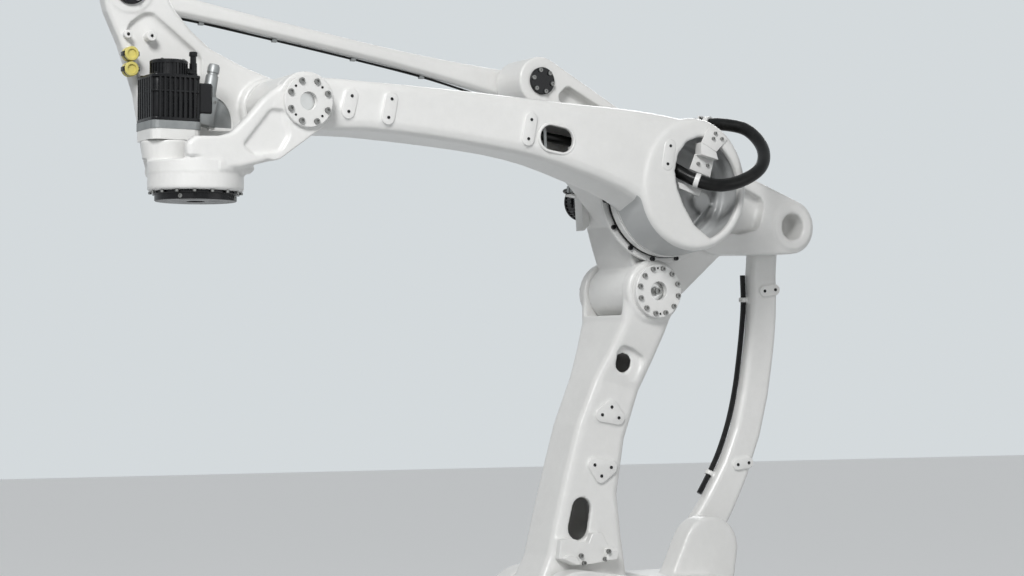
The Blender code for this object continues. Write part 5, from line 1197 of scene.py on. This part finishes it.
# Wrist fittings
# The tool motor's power plug leans back from its socket beside a curved guard plate, the two signal
# sockets wear yellow collars, and two plain posts stand ready for a cable carrier.
FITTING_Y = -0.05
PLUG_FOOT = (0.2785, -0.075)
PLUG_HEAD = (0.2385, 0.133)
PLUG_HALF = 0.027
GUARD_LOW, GUARD_HIGH = -0.090, 0.027
GUARD_LEFT, GUARD_RIGHT = 0.2615, 0.177
GUARD_RIM_SHARE = 0.86
POSTS = ((0.498, 0.223, 0.0135), (0.417, 0.223, 0.0175))


def from_wrist(spot, y):
    """A point in space, given in the side view from the wrist's axis."""
    return in_space(WRIST + Vector(spot), y)


plug_foot = from_wrist(PLUG_FOOT, FITTING_Y)
plug_line = (from_wrist(PLUG_HEAD, FITTING_Y) - plug_foot).normalized()
plug_across = NEAR.cross(plug_line)
plug_turn = Matrix((plug_across, NEAR, plug_line)).transposed()
plug_shell = plate([square(PLUG_HALF, 0.005)], 0.0, 0.098, 0.004, (plug_foot, plug_across, NEAR, plug_line))
plug_body = lathe([(0.0225, 0.090), (0.0245, 0.096), (0.0245, 0.104), (0.0225, 0.110), (0.0205, 0.168),
                   (0.0170, 0.170), (0.0170, 0.176), (0.0200, 0.178), (0.0200, 0.198), (0.0160, 0.206),
                   (0.0080, 0.208)], plug_foot, plug_turn, sides=48)
new_piece("power_plug_shell", joined([plug_shell, plug_body]), "wrist_frame", "grey_metal",
          stands_for="power_plug")
plug_bolts = [plug_foot + plug_line * 0.080 + plug_across * a + NEAR * PLUG_HALF for a in (-0.016, 0.016)]
screws("power_plug_screws", "wrist_frame", plug_bolts, NEAR, radius=0.005, height=0.004)

guard = [Vector((GUARD_LEFT, GUARD_LOW))]
for i in range(19):
    angle = math.radians(5 * i)
    guard.append(Vector((GUARD_LEFT - (GUARD_LEFT - GUARD_RIGHT) * math.sin(angle),
                         GUARD_LOW + 0.02 + (GUARD_HIGH - GUARD_LOW - 0.02) * math.cos(angle))))
guard.append(Vector((GUARD_RIGHT, GUARD_LOW)))
guard_middle = sum(guard, Vector((0, 0))) / len(guard)
guard_inner = [WRIST + guard_middle + (spot - guard_middle) * GUARD_RIM_SHARE for spot in guard]
guard = [WRIST + spot for spot in guard]
guard_rim = plate([guard, guard_inner], FITTING_Y - 0.010, FITTING_Y + 0.012, 0.002)
new_piece("guard_rim", guard_rim, "wrist_frame", "white_paint")
guard_plate = plate([guard_inner], FITTING_Y - 0.006, FITTING_Y + 0.004, 0.001)
new_piece("guard_plate", guard_plate, "wrist_frame", "grey_metal")

for name in ("signal_socket_upper", "signal_socket_lower"):
    low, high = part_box(name)
    place = in_space(middle_of(name), 0.0)
    collar = [(ON_AXIS, low.y), (0.0235, low.y), (0.0235, low.y + 0.012), (0.0205, low.y + 0.014),
              (0.0205, high.y - 0.014), (0.0235, high.y - 0.012), (0.0235, high.y - 0.002), (0.0215, high.y),
              (0.0150, high.y), (0.0140, high.y - 0.006), (ON_AXIS, high.y - 0.006)]
    new_piece(name + "_collars", lathe(collar, place, ACROSS, sides=40), "wrist_frame", "yellow_plastic",
              stands_for=name)
    band = ring_profile(0.0195, 0.0222, low.y + 0.0145, high.y - 0.0145, 0.001)
    new_piece(name + "_band", lathe(band, place, ACROSS, sides=40), "wrist_frame", "black_satin")
    lugs = [plate([square(0.0075, 0.002)], low.y + 0.006, high.y - 0.006, 0.001,
                  (place + FORWARD * a, FORWARD, UP, NEAR)) for a in (-0.020, 0.020)]
    new_piece(name + "_lugs", joined(lugs), "wrist_frame", "black_satin")

for i, (x, z, radius) in enumerate(POSTS):
    seat = near_face("wrist_frame", WRIST + Vector((x, z)))
    post = lathe([(radius, seat - 0.004), (radius, -0.152), (radius - 0.002, -0.150), (0.0060, -0.150),
                  (0.0055, -0.162), (ON_AXIS, -0.162)], from_wrist((x, z), 0.0), ACROSS, sides=40)
    new_piece(f"carrier_post_{i + 1}", post, "wrist_frame", "white_paint")
    mouth = from_wrist((x, z), -0.151)
    hole_shade_discs(f"carrier_post_{i + 1}_hole", "wrist_frame", [mouth], radius=0.0045)

motor_cap_low, motor_cap_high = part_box("tool_motor_cap")
fitting = Vector((motor_cap_low.x - 0.012, (motor_cap_low.y + motor_cap_high.y) / 2, motor_cap_low.z + 0.018))
stub = lathe([(0.013, -0.018), (0.013, 0.006), (0.0145, 0.008), (0.0145, 0.020), (0.0125, 0.022),
              (0.0125, 0.030)], fitting, AHEAD, sides=32)
riser = lathe([(0.0125, -0.012), (0.0125, 0.030), (0.0100, 0.032), (0.0100, 0.052), (0.0135, 0.054),
               (0.0135, 0.066), (0.0110, 0.068)], fitting - FORWARD * 0.010, sides=32)
new_piece("encoder_plug", joined([stub, riser]), "wrist_frame", "black_satin")
